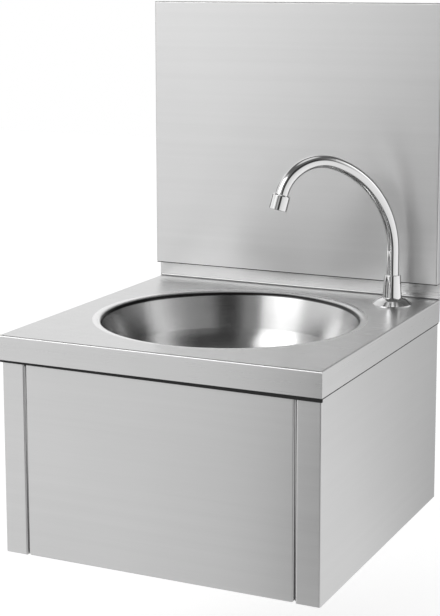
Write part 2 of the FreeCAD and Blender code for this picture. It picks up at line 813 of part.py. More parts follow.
def make_valve():
    """Brass valve: body, neck nut, bonnet, plunger with seal, spring and end cap."""
    at = ("0", "web_back", "valve_z")
    chamber = "(valve_radius - valve_wall)"
    shell = turned("valve_shell", "y", at, [
        ("0", "-neck_length"), ("neck_radius", "-neck_length"), ("neck_radius", "0"),
        ("valve_radius", "0"), ("valve_radius", "valve_length"), ("0", "valve_length")])
    middle = ("0", "port_y", "valve_z")
    sockets = []
    for side, start in (("left", "-port_end"), ("right", "0")):
        boss_at = (start, "port_y", "valve_z")
        sockets.append(rod(f"port_{side}", "x", boss_at, "port_radius", "port_end"))
    room = rod("valve_chamber", "y", ("0", "web_back + valve_wall", "valve_z"), chamber,
               "valve_length - valve_wall + fit")
    neck = rod("valve_neck_bore", "y", ("0", "web_back - neck_length - fit", "valve_z"),
               "neck_bore", "neck_length + valve_wall + 2 * fit")
    bores = [rod("port_left_bore", "x", ("-port_end", "port_y", "valve_z"), "spigot_bore", "port_end"),
             rod("port_right_bore", "x", middle, "spigot_bore", "port_end"),
             rod("port_socket", "x", ("port_end - pipe_entry", "port_y", "valve_z"),
                 "pipe_radius + fit", "pipe_entry")]
    keep(cut("valve_body", fuse("valve_blank", shell, *sockets), room, neck, *bores))

    keep(nut("valve_lock_nut", "y", ("0", "web_front - valve_nut", "valve_z"), "valve_nut_flats",
             "neck_radius + fit / 2", "valve_nut"))

    head = hexagon("bonnet_head", "y", ("0", "web_back - neck_length - bonnet_length", "valve_z"),
                   "bonnet_flats", "bonnet_length")
    plug = rod("bonnet_plug", "y", ("0", "web_back - neck_length", "valve_z"),
               "neck_bore - fit / 2", "bonnet_plug")
    bore = rod("bonnet_bore", "y", ("0", "web_back - neck_length - bonnet_length", "valve_z"),
               "stem_radius + fit", "bonnet_length + bonnet_plug")
    keep(cut("valve_bonnet", fuse("bonnet_blank", head, plug), bore))

    piston = f"({chamber} - seat)"
    piston_back = "(piston_set + piston_length)"
    keep(turned("valve_plunger", "y", at, [
        ("0", "-button_out"), ("button_radius", "-button_out + button_dome"),
        ("button_radius", "-button_out + button_length"),
        ("stem_radius", "-button_out + button_length"), ("stem_radius", "piston_set"),
        (piston, "piston_set"), (piston, piston_back), ("seal_seat", piston_back),
        ("seal_seat", f"{piston_back} + seal_length"), ("0", f"{piston_back} + seal_length")]))
    keep(turned("plunger_seal", "y", at, [
        ("seal_seat", piston_back), (piston, piston_back),
        (piston, f"{piston_back} + seal_length"), ("seal_seat", f"{piston_back} + seal_length")]))
    coil_start = f"({piston_back} + seal_length)"
    coil_end = "(valve_length - cap_plug)"
    keep(turned("valve_spring", "y", at, [
        (f"{piston} - spring_wire", coil_start), (piston, coil_start), (piston, coil_end),
        (f"{piston} - spring_wire", coil_end)]))

    lid = hexagon("cap_head", "y", ("0", "web_back + valve_length", "valve_z"), "cap_flats",
                  "cap_length")
    plug = rod("cap_plug_rod", "y", ("0", "web_back + valve_length - cap_plug", "valve_z"),
               f"{chamber} - fit / 2", "cap_plug")
    keep(fuse("valve_end_cap", lid, plug))


# ---------------------------------------------------------------- mixer

def make_mixer():
    """Hot and cold mixer on the valve's left port, with check valves and a knob."""
    at = ("-mixer_end", "port_y", "valve_z")
    long = "(mixer_end - mixer_start)"
    barrel = turned("mixer_barrel", "x", at, [
        ("0", "0"), ("mixer_radius", "0", "seat"), ("mixer_radius", long),
        ("port_radius - fit", long), ("port_radius - fit", "mixer_end - port_end"),
        ("0", "mixer_end - port_end")])
    bosses = []
    bores = []
    for word in ("near", "far"):
        middle = (f"-inlet_{word}", "port_y", "valve_z")
        bosses.append(rod(f"inlet_boss_{word}", "y", middle, "inlet_boss", "inlet_boss_length"))
        bores.append(rod(f"inlet_bore_{word}", "y", middle, "inlet_bore",
                         "inlet_boss_length + fit"))
    gallery = rod("mixer_gallery", "x", ("-mixer_end - fit", "port_y", "valve_z"), "mixer_bore",
                  f"{long} - mixer_floor + fit")
    spigot = rod("mixer_spigot_bore", "x", ("-mixer_start - mixer_floor - fit", "port_y", "valve_z"),
                 "spigot_bore", "mixer_start + mixer_floor - port_end + 2 * fit")
    keep(cut("mixer_body", fuse("mixer_blank", barrel, *bosses), gallery, spigot, *bores))
    keep(nut("mixer_union_nut", "x", ("-mixer_start + seat", "port_y", "valve_z"), "union_flats",
             "port_radius", "union_length"))

    for label, word in (("check_valve_hot", "far"), ("check_valve_cold", "near")):
        start = (f"-inlet_{word}", "port_y + inlet_boss_length", "valve_z")
        collar = hexagon(f"{label}_hexagon", "y", start, "inlet_flats", "inlet_hex")
        stub = rod(f"{label}_stub", "y", start, "inlet_thread", "inlet_hex + inlet_thread_length")
        bore = rod(f"{label}_bore", "y", start, "inlet_bore", "inlet_hex + inlet_thread_length")
        keep(cut(label, fuse(f"{label}_blank", collar, stub), bore))

    gland = "(mixer_bore - fit)"
    keep(turned("mixer_gland", "x", at, [
        ("spindle_radius + fit", "-knob_gap + seat"), (gland, "-knob_gap + seat"),
        (gland, "mixer_floor"), ("spindle_radius + fit", "mixer_floor")]))
    spindle_end = "(-knob_gap - knob_length + moulded_edge)"
    keep(turned("blend_spindle", "x", at, [
        ("0", spindle_end), ("spindle_radius", spindle_end),
        ("spindle_radius", "mixer_floor + seat"), ("rotor_radius", "mixer_floor + seat"),
        ("rotor_radius", "mixer_floor + seat + rotor_length"),
        ("0", "mixer_floor + seat + rotor_length")]))
    dial = turned("knob_dial", "x", at, [
        ("0", "-knob_gap - knob_length"), ("knob_radius", "-knob_gap - knob_length", "moulded_edge"),
        ("knob_radius", "-knob_gap"), ("spindle_radius", "-knob_gap"),
        ("spindle_radius", spindle_end), ("0", spindle_end)])
    wing = slab("knob_wing", ("-mixer_end - knob_gap - knob_length", "-mixer_end - knob_gap"),
                ("port_y - moulded_edge", "port_y + moulded_edge"),
                ("valve_z + spindle_radius + moulded_edge",
                 "valve_z + knob_radius + 2 * moulded_edge"))
    keep(fuse("blend_knob", dial, wing))


# ---------------------------------------------------------------- outlet pipe

def bent_tube(stops, radius, bend):
    """Solid rod along straight runs joined by tangent arcs."""
    edges = []
    start = stops[0]
    for corner, after in zip(stops[1:-1], stops[2:]):
        back = (start - corner).normalize()
        ahead = (after - corner).normalize()
        reach = bend / math.tan(back.getAngle(ahead) / 2)
        first, last = corner + back * reach, corner + ahead * reach
        hub = corner + (back + ahead).normalize() * (bend / math.sin(back.getAngle(ahead) / 2))
        middle = hub + (corner - hub).normalize() * bend
        edges.append(Part.LineSegment(start, first).toShape())
        edges.append(Part.Arc(first, middle, last).toShape())
        start = last
    edges.append(Part.LineSegment(start, stops[-1]).toShape())
    circle = Part.Circle(stops[0], (stops[1] - stops[0]).normalize(), radius)
    return Part.Wire(edges).makePipeShell([Part.Wire([circle.toShape()])], True, False)


def make_outlet_pipe():
    """Rigid pipe from the valve's right port along the side and up into the tap."""
    stops = [V(*(value(text) for text in stop)) for stop in (
        ("port_end - pipe_entry", "port_y", "valve_z"),
        ("tap_x", "port_y", "valve_z"),
        ("tap_x", "tap_y", "valve_z"),
        ("tap_x", "tap_y", "deck_top - shank_length - tail_flange + pipe_entry"))]
    outer = bent_tube(stops, value("pipe_radius"), value("pipe_bend"))
    inner = bent_tube(stops, value("pipe_radius - pipe_wall"), value("pipe_bend"))
    pipe = doc.addObject("Part::Feature", "outlet_pipe")
    pipe.Shape = outer.cut(inner)
    pipe.Placement = FreeCAD.Placement()
    keep(pipe)
    keep(nut("pipe_nut_lower", "x", ("port_end", "port_y", "valve_z"), "pipe_nut_flats",
             "pipe_radius + fit / 2", "pipe_nut"))
    keep(nut("pipe_nut_upper", "z",
             ("tap_x", "tap_y", "deck_top - shank_length - tail_flange - pipe_nut"),
             "pipe_nut_flats", "pipe_radius + fit / 2", "pipe_nut"))


# ---------------------------------------------------------------- tap

def make_tap():
    """Tap body through the deck with its cover, collar, gasket, washer and nut."""
    at = ("tap_x", "tap_y", "deck_top")
    spout_bore = "(spout_radius + fit)"
    foot_bore = "(foot_radius + 4 * fit)"
    body = turned("tap_shell", "z", at, [
        (spout_bore, "tap_neck_rise"), ("tap_neck_radius", "tap_neck_rise"),
        ("tap_neck_radius", "gasket + tap_flange"), ("tap_flange_radius", "gasket + tap_flange"),
        ("tap_flange_radius", "gasket"), ("shank_radius", "gasket"),
        ("shank_radius", "-shank_length"), (foot_bore, "-shank_length"),
        (foot_bore, "-foot_drop"), (spout_bore, "-foot_drop")])
    grooves = []
    rings = []
    ring_middle = "(spout_radius + 2 * fit + oring_wire)"
    for word in ("upper", "lower"):
        low = f"deck_top - oring_{word} - oring_wire - fit"
        grooves.append(rod(f"groove_{word}", "z", ("tap_x", "tap_y", low),
                           f"{ring_middle} + oring_wire + fit", "2 * oring_wire + 2 * fit"))
        ring = doc.addObject("Part::Torus", f"oring_{word}_ring")
        bind(ring, "Radius1", ring_middle)
        bind(ring, "Radius2", "oring_wire")
        rings.append(place(ring, ("tap_x", "tap_y", f"deck_top - oring_{word}")))
    slot = stop_slot()
    keep(cut("tap_body", body, *grooves, slot))
    keep(fuse("spout_seals", *rings))

    keep(turned("tap_tail", "z", at, [
        ("spigot_bore", "-shank_length + tail_plug - seat"),
        (f"{foot_bore} - fit", "-shank_length + tail_plug - seat"),
        (f"{foot_bore} - fit", "-shank_length"), ("shank_radius", "-shank_length"),
        ("shank_radius", "-shank_length - tail_flange"),
        ("pipe_radius + fit", "-shank_length - tail_flange"),
        ("pipe_radius + fit", "-shank_length - tail_flange + pipe_entry"),
        ("spigot_bore", "-shank_length - tail_flange + pipe_entry")]))
    keep(turned("tap_gasket", "z", at, rectangle(("shank_radius", "tap_flange_radius"),
                                                 ("0", "gasket"))))
    keep(turned("tap_rosette", "z", at, [
        ("rosette_radius", "0"), ("rosette_radius", "rosette_edge"),
        ("rosette_shoulder", "rosette_shoulder_rise", "rosette_sweep"),
        ("collar_foot", "rosette_rise"), ("tap_neck_radius + fit", "rosette_rise"),
        ("tap_neck_radius + fit", "gasket + tap_flange + fit"),
        ("tap_flange_radius + fit", "gasket + tap_flange + fit"), ("tap_flange_radius + fit", "0")]))
    keep(turned("tap_collar", "z", at, [
        ("tap_neck_radius + fit", "rosette_rise"), ("collar_foot", "rosette_rise"),
        ("collar_foot", "rosette_rise + rosette_edge", "rosette_edge"),
        ("collar_head", "collar_rise", "rosette_edge / 2"), (spout_bore, "collar_rise"),
        (spout_bore, "tap_neck_rise + seat"), ("tap_neck_radius + fit", "tap_neck_rise + seat")]))
    keep(turned("tap_washer", "z", at, rectangle(
        ("shank_radius + fit", "tap_washer_radius"), ("-deck_sheet - tap_washer", "-deck_sheet"))))
    keep(nut("tap_back_nut", "z", ("tap_x", "tap_y", "deck_under - tap_washer - tap_nut"),
             "tap_nut_flats", "shank_radius + fit / 2", "tap_nut"))


def stop_slot():
    """Arc slot in the tap body that limits the spout's swivel through its pin."""
    pin_turn = "asin(stop_pin_radius / foot_radius) / (1 deg)"
    half_slot = f"(swivel + {pin_turn} + stop_spare)"
    sector = doc.addObject("Part::Cylinder", "stop_slot")
    bind(sector, "Radius", "foot_radius + stop_pin_reach + 2 * fit")
    bind(sector, "Height", "2 * stop_pin_radius + 2 * seat")
    bind(sector, "Angle", f"2 * {half_slot}")
    turn = FreeCAD.Rotation(Z_AXIS, value(f"spout_turn - {half_slot}"))
    return place(sector, ("tap_x", "tap_y",
                          "deck_top - foot_drop - foot_length / 2 - stop_pin_radius - seat"), turn)


# ---------------------------------------------------------------- spout

def make_spout():
    """Swan neck: upright tube, a wide bend and a tighter one, in one upright plane."""
    low = "-foot_drop - foot_length"
    body = doc.addObject("PartDesign::Body", "spout")
    path = sketch_on(body, "XZ_Plane", "spout_path")
    first_centre = V(value("first_bend"), value("spout_rise"), 0)
    middle_turn = math.radians(180 - value("first_sweep"))
    last_turn = math.radians(180 - value("first_sweep + second_sweep"))
    way = V(math.cos(middle_turn), math.sin(middle_turn), 0)
    second_centre = first_centre + way * value("first_bend - second_bend")
    end_way = V(math.cos(last_turn), math.sin(last_turn), 0)
    bend_end = second_centre + end_way * value("second_bend")
    flow = V(end_way.y, -end_way.x, 0)
    path.addGeometry(Part.LineSegment(V(0, value(low), 0), V(0, value("spout_rise"), 0)))
    path.addGeometry(Part.ArcOfCircle(Part.Circle(first_centre, Z_AXIS, value("first_bend")),
                                      middle_turn, math.pi))
    path.addGeometry(Part.ArcOfCircle(Part.Circle(second_centre, Z_AXIS, value("second_bend")),
                                      last_turn, middle_turn))
    path.addGeometry(Part.LineSegment(bend_end, bend_end + flow * value("aerator_grip")))
    fix_point(path, 0, 1, "0", low)
    fix_point(path, 0, 2, "0", "spout_rise")
    for first, first_end, second, second_end in ((0, 2, 1, 2), (1, 1, 2, 2), (2, 1, 3, 1)):
        path.addConstraint(Sketcher.Constraint("Tangent", first, first_end, second, second_end))
    fix(path, "Radius", 1, "first_bend")
    fix(path, "Radius", 2, "second_bend")
    fix(path, "Distance", 3, "aerator_grip")
    fix(path, "DistanceX", -1, 1, 2, 2, "first_bend * (1 - cos(first_sweep))")
    fix(path, "DistanceX", -1, 1, 2, 1,
        "first_bend - (first_bend - second_bend) * cos(first_sweep)"
        " - second_bend * cos(first_sweep + second_sweep)")
    ring = sketch_on(body, "XY_Plane", "spout_section")
    for radius in ("spout_radius", "spout_radius - spout_wall"):
        circle = ring.addGeometry(Part.Circle(V(), Z_AXIS, value(radius)))
        ring.addConstraint(Sketcher.Constraint("Coincident", circle, 3, -1, 1))
        fix(ring, "Radius", circle, radius)
    bind(ring, "AttachmentOffset.Base.z", low)
    pipe = body.newObject("PartDesign::AdditivePipe", "spout_pipe")
    pipe.Profile = ring
    pipe.Spine = (path, [f"Edge{number}" for number in range(1, 5)])
    turn = FreeCAD.Rotation(Z_AXIS, value("spout_turn"))
    place(body, ("tap_x", "tap_y", "deck_top"), turn)
    keep(body)

    foot_at = ("tap_x", "tap_y", "deck_top - foot_drop - seat")
    keep(turned("spout_foot", "z", foot_at, rectangle(
        ("spout_radius", "foot_radius"), ("-foot_length + seat", "0"))))
    pin = rod("spout_stop_pin", "x", ("0", "0", "0"), "stop_pin_radius", "stop_pin_reach")
    pin.Placement.Rotation = turn.multiply(TURN_Z_TO["x"])
    bind(pin, "Placement.Base.x", "tap_x + foot_radius * cos(spout_turn)")
    bind(pin, "Placement.Base.y", "tap_y + foot_radius * sin(spout_turn)")
    bind(pin, "Placement.Base.z", "deck_top - foot_drop - foot_length / 2")
    keep(pin)
    make_aerator(turn, bend_end)


def make_aerator(turn, bend_end):
    """Screwed shell on the spout's end with its flow insert."""
    tilt = FreeCAD.Rotation(Y_AXIS, value("first_sweep + second_sweep"))
    stand = V(value("tap_x"), value("tap_y"), value("deck_top"))
    spot = FreeCAD.Placement(stand + turn.multVec(V(bend_end.x, 0, bend_end.y)),
                             turn.multiply(tilt))
    shell = turned("aerator_housing", "z", ("0", "0", "0"), [
        ("spout_radius", "0"), ("aerator_radius - aerator_shoulder", "0"),
        ("aerator_radius", "aerator_shoulder", "aerator_shoulder / 2"),
        ("aerator_radius", "aerator_length", "aerator_shoulder / 3"),
        ("aerator_bore", "aerator_length"), ("aerator_bore", "aerator_grip"),
        ("spout_radius", "aerator_grip")])
    plug = turned("aerator_plug", "z", ("0", "0", "0"), [
        ("0", "aerator_grip"), ("aerator_bore", "aerator_grip"),
        ("aerator_bore", "aerator_length - aerator_shoulder"),
        ("0", "aerator_length - aerator_shoulder")])
    jets = []
    jets.append(rod("jet_middle", "z", ("0", "0", "aerator_grip"), "jet_radius", "aerator_length"))
    for number in range(round(value("jets_around"))):
        angle = f"({number} * 360 / jets_around)"
        jets.append(rod(f"jet_{number}", "z",
                        (f"jet_ring * cos{angle}", f"jet_ring * sin{angle}", "aerator_grip"),
                        "jet_radius", "aerator_length"))
    insert = cut("aerator_insert", plug, *jets)
    for piece in (shell, insert):
        for letter in "xyz":
            piece.setExpression(f"Placement.Base.{letter}", None)
        piece.Placement = spot
        keep(piece)


# ---------------------------------------------------------------- waste and trap

def make_waste():
    """Flanged waste in the bowl's seat with strainer, screw, seal and nut."""
    at = ("0", "bowl_y", "deck_top")
    shelf = "(-recess_top - strainer_sheet)"
    tail = "(-bowl_depth - waste_tail)"
    tube = turned("waste_tube_shell", "z", at, [
        ("waste_flange_radius", "-bowl_depth"), ("waste_flange_radius", "-recess_top"),
        ("strainer_radius + fit", "-recess_top"), ("strainer_radius + fit", shelf),
        ("waste_bore", shelf), ("waste_bore", tail), ("waste_tube", tail),
        ("waste_tube", "-bowl_depth")])
    bridge_top = f"(deck_top + {shelf} - bridge_drop)"
    bridge = slab("waste_bridge", ("-waste_bore - fit", "waste_bore + fit"),
                  ("bowl_y - bridge_width / 2", "bowl_y + bridge_width / 2"),
                  (f"{bridge_top} - bridge_rise", bridge_top))
    tapped = rod("bridge_hole", "z", ("0", "bowl_y", f"{bridge_top} - bridge_rise"),
                 "screw_radius", "bridge_rise")
    keep(cut("waste_body", fuse("waste_blank", tube, bridge), tapped))

    plate = rod("strainer_plate", "z", ("0", "bowl_y", f"deck_top + {shelf}"), "strainer_radius",
                "strainer_sheet")
    holes = [rod("strainer_centre", "z", ("0", "bowl_y", f"deck_top + {shelf}"),
                 "screw_radius + fit", "strainer_sheet")]
    for number in range(round(value("strainer_holes"))):
        turn = f"({number} * 360 / strainer_holes)"
        holes.append(rod(f"strainer_hole_{number}", "z",
                         (f"strainer_ring * cos{turn}", f"bowl_y + strainer_ring * sin{turn}",
                          f"deck_top + {shelf}"), "strainer_hole", "strainer_sheet"))
    keep(cut("waste_strainer", plate, *holes))
    keep(turned("strainer_screw", "z", at, [
        ("0", "-recess_top - screw_length"), ("screw_radius", "-recess_top - screw_length"),
        ("screw_radius", "-recess_top"), ("screw_head", "-recess_top"),
        ("screw_head", "-recess_top + screw_head_rise", "screw_head_rise / 2"),
        ("0", "-recess_top + screw_head_rise")]))

    under = "(-bowl_depth - deck_sheet)"
    keep(turned("waste_seal_ring", "z", at, rectangle(
        ("waste_tube + fit", "waste_seal_radius"), (f"{under} - waste_seal", under))))
    keep(nut("waste_back_nut", "z", ("0", "bowl_y", f"deck_top + {under} - waste_seal - waste_nut"),
             "waste_nut_flats", "waste_tube + fit / 2", "waste_nut"))


def make_trap():
    """Bottle trap under the waste, its screwed cup and the pipe to the wall."""
    at = ("0", "bowl_y", "trap_top")
    roof = "(-trap_neck)"
    inner = "(bottle_radius - bottle_wall)"
    bottle = turned("trap_bottle", "z", at, [
        ("trap_inlet_bore", "0"), ("waste_tube", "0"), ("waste_tube", "-trap_collar"),
        ("trap_inlet_radius", "-trap_collar"), ("trap_inlet_radius", roof),
        ("bottle_radius", roof, "bottle_wall"), ("bottle_radius", f"{roof} - bottle_length"),
        (inner, f"{roof} - bottle_length"), (inner, f"{roof} - bottle_wall"),
        ("trap_inlet_radius", f"{roof} - bottle_wall"), ("trap_inlet_radius", "-dip_length"),
        ("trap_inlet_bore", "-dip_length")])
    boss = rod("trap_boss", "y", ("0", f"bowl_y + {inner}", "outlet_z"), "trap_outlet_radius",
               f"trap_outlet_reach - {inner}")
    socket = "(waste_pipe_radius + fit)"
    bore = rod("trap_socket", "y", ("0", "bowl_y + trap_inlet_radius + bottle_wall", "outlet_z"),
               socket, "trap_outlet_reach")
    keep(cut("trap_body", fuse("trap_blank", bottle, boss), bore))
    keep(turned("trap_inlet_nut", "z", at, [
        ("waste_tube + fit / 2", "trap_nut_rise"), ("trap_nut_radius", "trap_nut_rise", "moulded_edge"),
        ("trap_nut_radius", "-trap_collar - trap_nut_lip", "moulded_edge / 2"),
        ("trap_inlet_radius + fit", "-trap_collar - trap_nut_lip"),
        ("trap_inlet_radius + fit", "-trap_collar - fit"),
        ("waste_tube + fit / 2", "-trap_collar - fit")]))
    rim = f"({roof} - bottle_length + cup_overlap)"
    keep(turned("trap_cup", "z", at, [
        ("bottle_radius + fit", rim), ("bottle_radius + cup_wall", rim),
        ("bottle_radius + cup_wall", f"{rim} - cup_length", "bottle_wall"),
        ("0", f"{rim} - cup_length"), ("0", f"{rim} - cup_length + bottle_wall"),
        (inner, f"{rim} - cup_length + bottle_wall"),
        (inner, f"{rim} - cup_overlap"), ("bottle_radius + fit", f"{rim} - cup_overlap")]))

    mouth = "(bowl_y + trap_outlet_reach)"
    start = f"({mouth} - waste_pipe_entry)"
    tube = rod("waste_pipe_rod", "y", ("0", start, "outlet_z"), "waste_pipe_radius",
               f"-{start}")
    hole = rod("waste_pipe_bore", "y", ("0", start, "outlet_z"),
               "waste_pipe_radius - waste_pipe_wall", f"-{start}")
    keep(cut("waste_pipe", tube, hole))
    keep(turned("trap_outlet_nut", "y", ("0", mouth, "outlet_z"), [
        ("trap_outlet_radius + fit / 2", "-trap_outlet_grip"),
        ("trap_outlet_nut_radius", "-trap_outlet_grip", "moulded_edge / 2"),
        ("trap_outlet_nut_radius", "trap_outlet_nut - trap_outlet_grip", "moulded_edge"),
        (socket, "trap_outlet_nut - trap_outlet_grip"), (socket, "0"),
        ("trap_outlet_radius + fit / 2", "0")]))
    keep(turned("wall_cover", "y", ("0", "0", "outlet_z"), [
        (socket, "0"), ("cover_radius", "0"), ("cover_radius", "-cover_length", "moulded_edge"),
        (socket, "-cover_length")]))


# ---------------------------------------------------------------- the whole sink

make_side_panel("side_panel_left", -1)
make_side_panel("side_panel_right", 1)
make_deck()
make_bowl()
make_wall_bracket()
make_rails()
make_splash()
make_knee_panel()
make_pivots()
make_knee_pad()
make_valve_rail()
make_valve()
make_mixer()
make_outlet_pipe()
make_tap()
make_spout()
make_waste()
make_trap()
doc.recompute()

for item in doc.Objects:
    if "Invalid" in item.State or "Error" in item.State:
        raise RuntimeError(f"{item.Label} failed: {item.State}")
for piece in pieces:
    if piece.Shape.isNull() or not piece.Shape.isValid():
        raise RuntimeError(f"{piece.Label} has no valid shape")

os.makedirs("parts", exist_ok=True)
for piece in pieces:
    piece.Shape.exportStep(f"parts/{piece.Label}.step")
    box = piece.Shape.BoundBox
    print(f"{piece.Label}: {len(piece.Shape.Solids)} solids, {piece.Shape.Volume:.0f} mm3, "
          f"{box.XLength:.1f} x {box.YLength:.1f} x {box.ZLength:.1f}")
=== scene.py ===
import math

import bmesh
import bpy
from mathutils import Matrix, Vector


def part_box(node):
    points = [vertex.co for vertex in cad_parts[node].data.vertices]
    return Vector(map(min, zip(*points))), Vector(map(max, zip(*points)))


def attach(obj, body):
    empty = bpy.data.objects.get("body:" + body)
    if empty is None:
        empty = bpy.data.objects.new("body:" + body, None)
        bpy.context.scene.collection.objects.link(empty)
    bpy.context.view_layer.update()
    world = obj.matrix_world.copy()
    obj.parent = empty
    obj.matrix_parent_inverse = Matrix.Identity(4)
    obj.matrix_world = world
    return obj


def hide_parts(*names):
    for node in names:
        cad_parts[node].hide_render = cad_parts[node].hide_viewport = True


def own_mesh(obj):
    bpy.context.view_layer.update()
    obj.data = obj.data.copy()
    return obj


# A wall hung hand wash sink in brushed stainless steel, worked by the knee. The wall is the
# plane Y = 0, the front faces -Y and Z is up. Metres throughout.
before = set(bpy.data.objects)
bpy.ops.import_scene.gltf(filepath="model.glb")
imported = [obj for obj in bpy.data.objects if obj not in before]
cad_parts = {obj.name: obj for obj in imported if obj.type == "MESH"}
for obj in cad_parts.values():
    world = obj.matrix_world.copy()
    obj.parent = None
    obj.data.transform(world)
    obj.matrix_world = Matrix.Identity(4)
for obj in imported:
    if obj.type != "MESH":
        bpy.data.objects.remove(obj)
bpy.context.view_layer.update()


# ---------------------------------------------------------------- the view
# The sink is seen from its front right corner, from two metres away and a little above the
# deck. The frame is shifted down, so that the casing's upright edges stay nearly parallel.

STANDPOINT = Vector((0.7803, -1.8600, 0.4661))
TURN_LEFT = 0.434
LOOK_DOWN = 0.153
FOCAL_LENGTH = 90.51
SHIFT_ASIDE = -0.031
SHIFT_UP = -0.15


def put_in_scene(name, data):
    """An object of the scene that shows a mesh or holds a camera or a lamp."""
    made = bpy.data.objects.new(name, data)
    bpy.context.scene.collection.objects.link(made)
    return made


lens = bpy.data.cameras.new("view")
lens.lens = FOCAL_LENGTH
lens.shift_x = SHIFT_ASIDE
lens.shift_y = SHIFT_UP
camera = put_in_scene("view", lens)
camera.matrix_world = (
    Matrix.Translation(STANDPOINT)
    @ Matrix.Rotation(TURN_LEFT, 4, "Z")
    @ Matrix.Rotation(math.pi / 2 - LOOK_DOWN, 4, "X")
)
bpy.context.scene.camera = camera


# ---------------------------------------------------------------- wall bracket and rails
# Strips of stainless steel two millimetres thick, folded and left with the mill's finish. The
# bracket is bolted to the wall, the casing's rail hooks over its lip, and the low tie between
# the side sheets keeps the casing square.

MILL_GREY = 0.50
MILL_GRAIN = (9, 260, 260)
STREAKS_TO_LINES = 0.12
EDGE_WEAR_AND_HIGHLIGHT_WIDTH = 0.0006
EDGE_WEAR_AND_HIGHLIGHT_TONE = 1.15
RELIEF_HEIGHT = 0.0002


def add(tree, kind, feeds=None, **settings):
    """A node with its settings; feeds give inputs a value or another node's output."""
    made = tree.nodes.new(kind)
    for name, setting in settings.items():
        setattr(made, name, setting)
    for name, feed in (feeds or {}).items():
        if isinstance(feed, bpy.types.NodeSocket):
            tree.links.new(feed, made.inputs[name])
        else:
            made.inputs[name].default_value = feed
    return made


def reckon(tree, operation, *terms):
    """One step of arithmetic on numbers."""
    return add(tree, "ShaderNodeMath", dict(enumerate(terms)), operation=operation).outputs[0]


def mask(tree, value, nought, full, easing="LINEAR"):
    """Nought where a value is at one mark, one where it is at another."""
    return add(tree, "ShaderNodeMapRange",
               {"Value": value, "From Min": nought, "From Max": full},
               interpolation_type=easing).outputs[0]


def new_group(name, inputs, outputs):
    """An empty shader group, with the sockets that it takes and gives."""
    group = bpy.data.node_groups.new(name, "ShaderNodeTree")
    for way, sockets in (("INPUT", inputs), ("OUTPUT", outputs)):
        for label, kind in sockets:
            group.interface.new_socket(name=label, in_out=way, socket_type="NodeSocket" + kind)
    taken = add(group, "NodeGroupInput").outputs
    given = add(group, "NodeGroupOutput").inputs
    return group, taken, given


# Grain of worked metal: fine lines, streaks about eight times as wide, and soft clouds.
metal_grain, taken, given = new_group(
    "metal_grain", [("Coordinates", "Vector")],
    [("Lines", "Float"), ("Streaks", "Float"), ("Clouds", "Float")])
lines = add(metal_grain, "ShaderNodeTexNoise",
            {"Vector": taken["Coordinates"], "Scale": 1.0, "Detail": 3.0, "Roughness": 0.65})
broad = add(metal_grain, "ShaderNodeVectorMath",
            {0: taken["Coordinates"], "Scale": STREAKS_TO_LINES}, operation="SCALE")
streaks = add(metal_grain, "ShaderNodeTexNoise",
              {"Vector": broad.outputs[0], "Scale": 1.0, "Detail": 2.0})
point = add(metal_grain, "ShaderNodeTexCoord")
clouds = add(metal_grain, "ShaderNodeTexNoise",
             {"Vector": point.outputs["Object"], "Scale": 7.0, "Detail": 3.0})
for label, noise in (("Lines", lines), ("Streaks", streaks), ("Clouds", clouds)):
    metal_grain.links.new(noise.outputs[0], given[label])

# A mask of the edges, from how a rounded edge would lean. Bare metal paints its edges lighter
# with it: partly wear from handling, partly a painted highlight.
edge_wear_and_highlight, taken, given = new_group("edge_wear_and_highlight", [("Width", "Float")], [("Edge", "Float")])
rounded = add(edge_wear_and_highlight, "ShaderNodeBevel", {"Radius": taken["Width"]}, samples=4)
surface = add(edge_wear_and_highlight, "ShaderNodeNewGeometry")
lean = add(edge_wear_and_highlight, "ShaderNodeVectorMath",
           {0: rounded.outputs[0], 1: surface.outputs["Normal"]}, operation="DOT_PRODUCT")
edge_wear_and_highlight.links.new(mask(edge_wear_and_highlight, lean.outputs["Value"], 0.995, 0.90), given["Edge"])


def new_finish(name):
    """A fresh finish, with its tree and its shader."""
    material = bpy.data.materials.new(name)
    material.use_nodes = True
    return material, material.node_tree, material.node_tree.nodes["Principled BSDF"]


def stretched_place(tree, stretch):
    """The point on the piece, with each axis scaled on its own."""
    point = add(tree, "ShaderNodeTexCoord")
    return add(tree, "ShaderNodeVectorMath", {0: point.outputs["Object"], 1: stretch},
               operation="MULTIPLY").outputs[0]


def straight_grain(stretch):
    """Grain that runs along the axis with the least stretch, or even specks if all are alike."""
    return lambda tree: stretched_place(tree, stretch)


def between(tree, share, low, high):
    """Carries a noise, whose values lie round a half, over to another range."""
    return add(tree, "ShaderNodeMapRange",
               {"Value": share, "From Min": 0.3, "From Max": 0.7,
                "To Min": low, "To Max": high}).outputs[0]


def blend(tree, share, first, second):
    """Goes from one colour or grey to another by a mask."""
    full = [(c, c, c, 1) if isinstance(c, float) else c for c in (first, second)]
    return add(tree, "ShaderNodeMix", {"Factor": share, "A": full[0], "B": full[1]},
               data_type="RGBA").outputs["Result"]


def shade(color, share):
    """A colour made darker or lighter by a share."""
    red, green, blue = color
    return (red * share, green * share, blue * share, 1)


def raise_relief(tree, height, strength):
    """Gives a finish a fine relief."""
    bump = add(tree, "ShaderNodeBump",
               {"Height": height, "Strength": strength, "Distance": RELIEF_HEIGHT})
    tree.links.new(bump.outputs[0], tree.nodes["Principled BSDF"].inputs["Normal"])


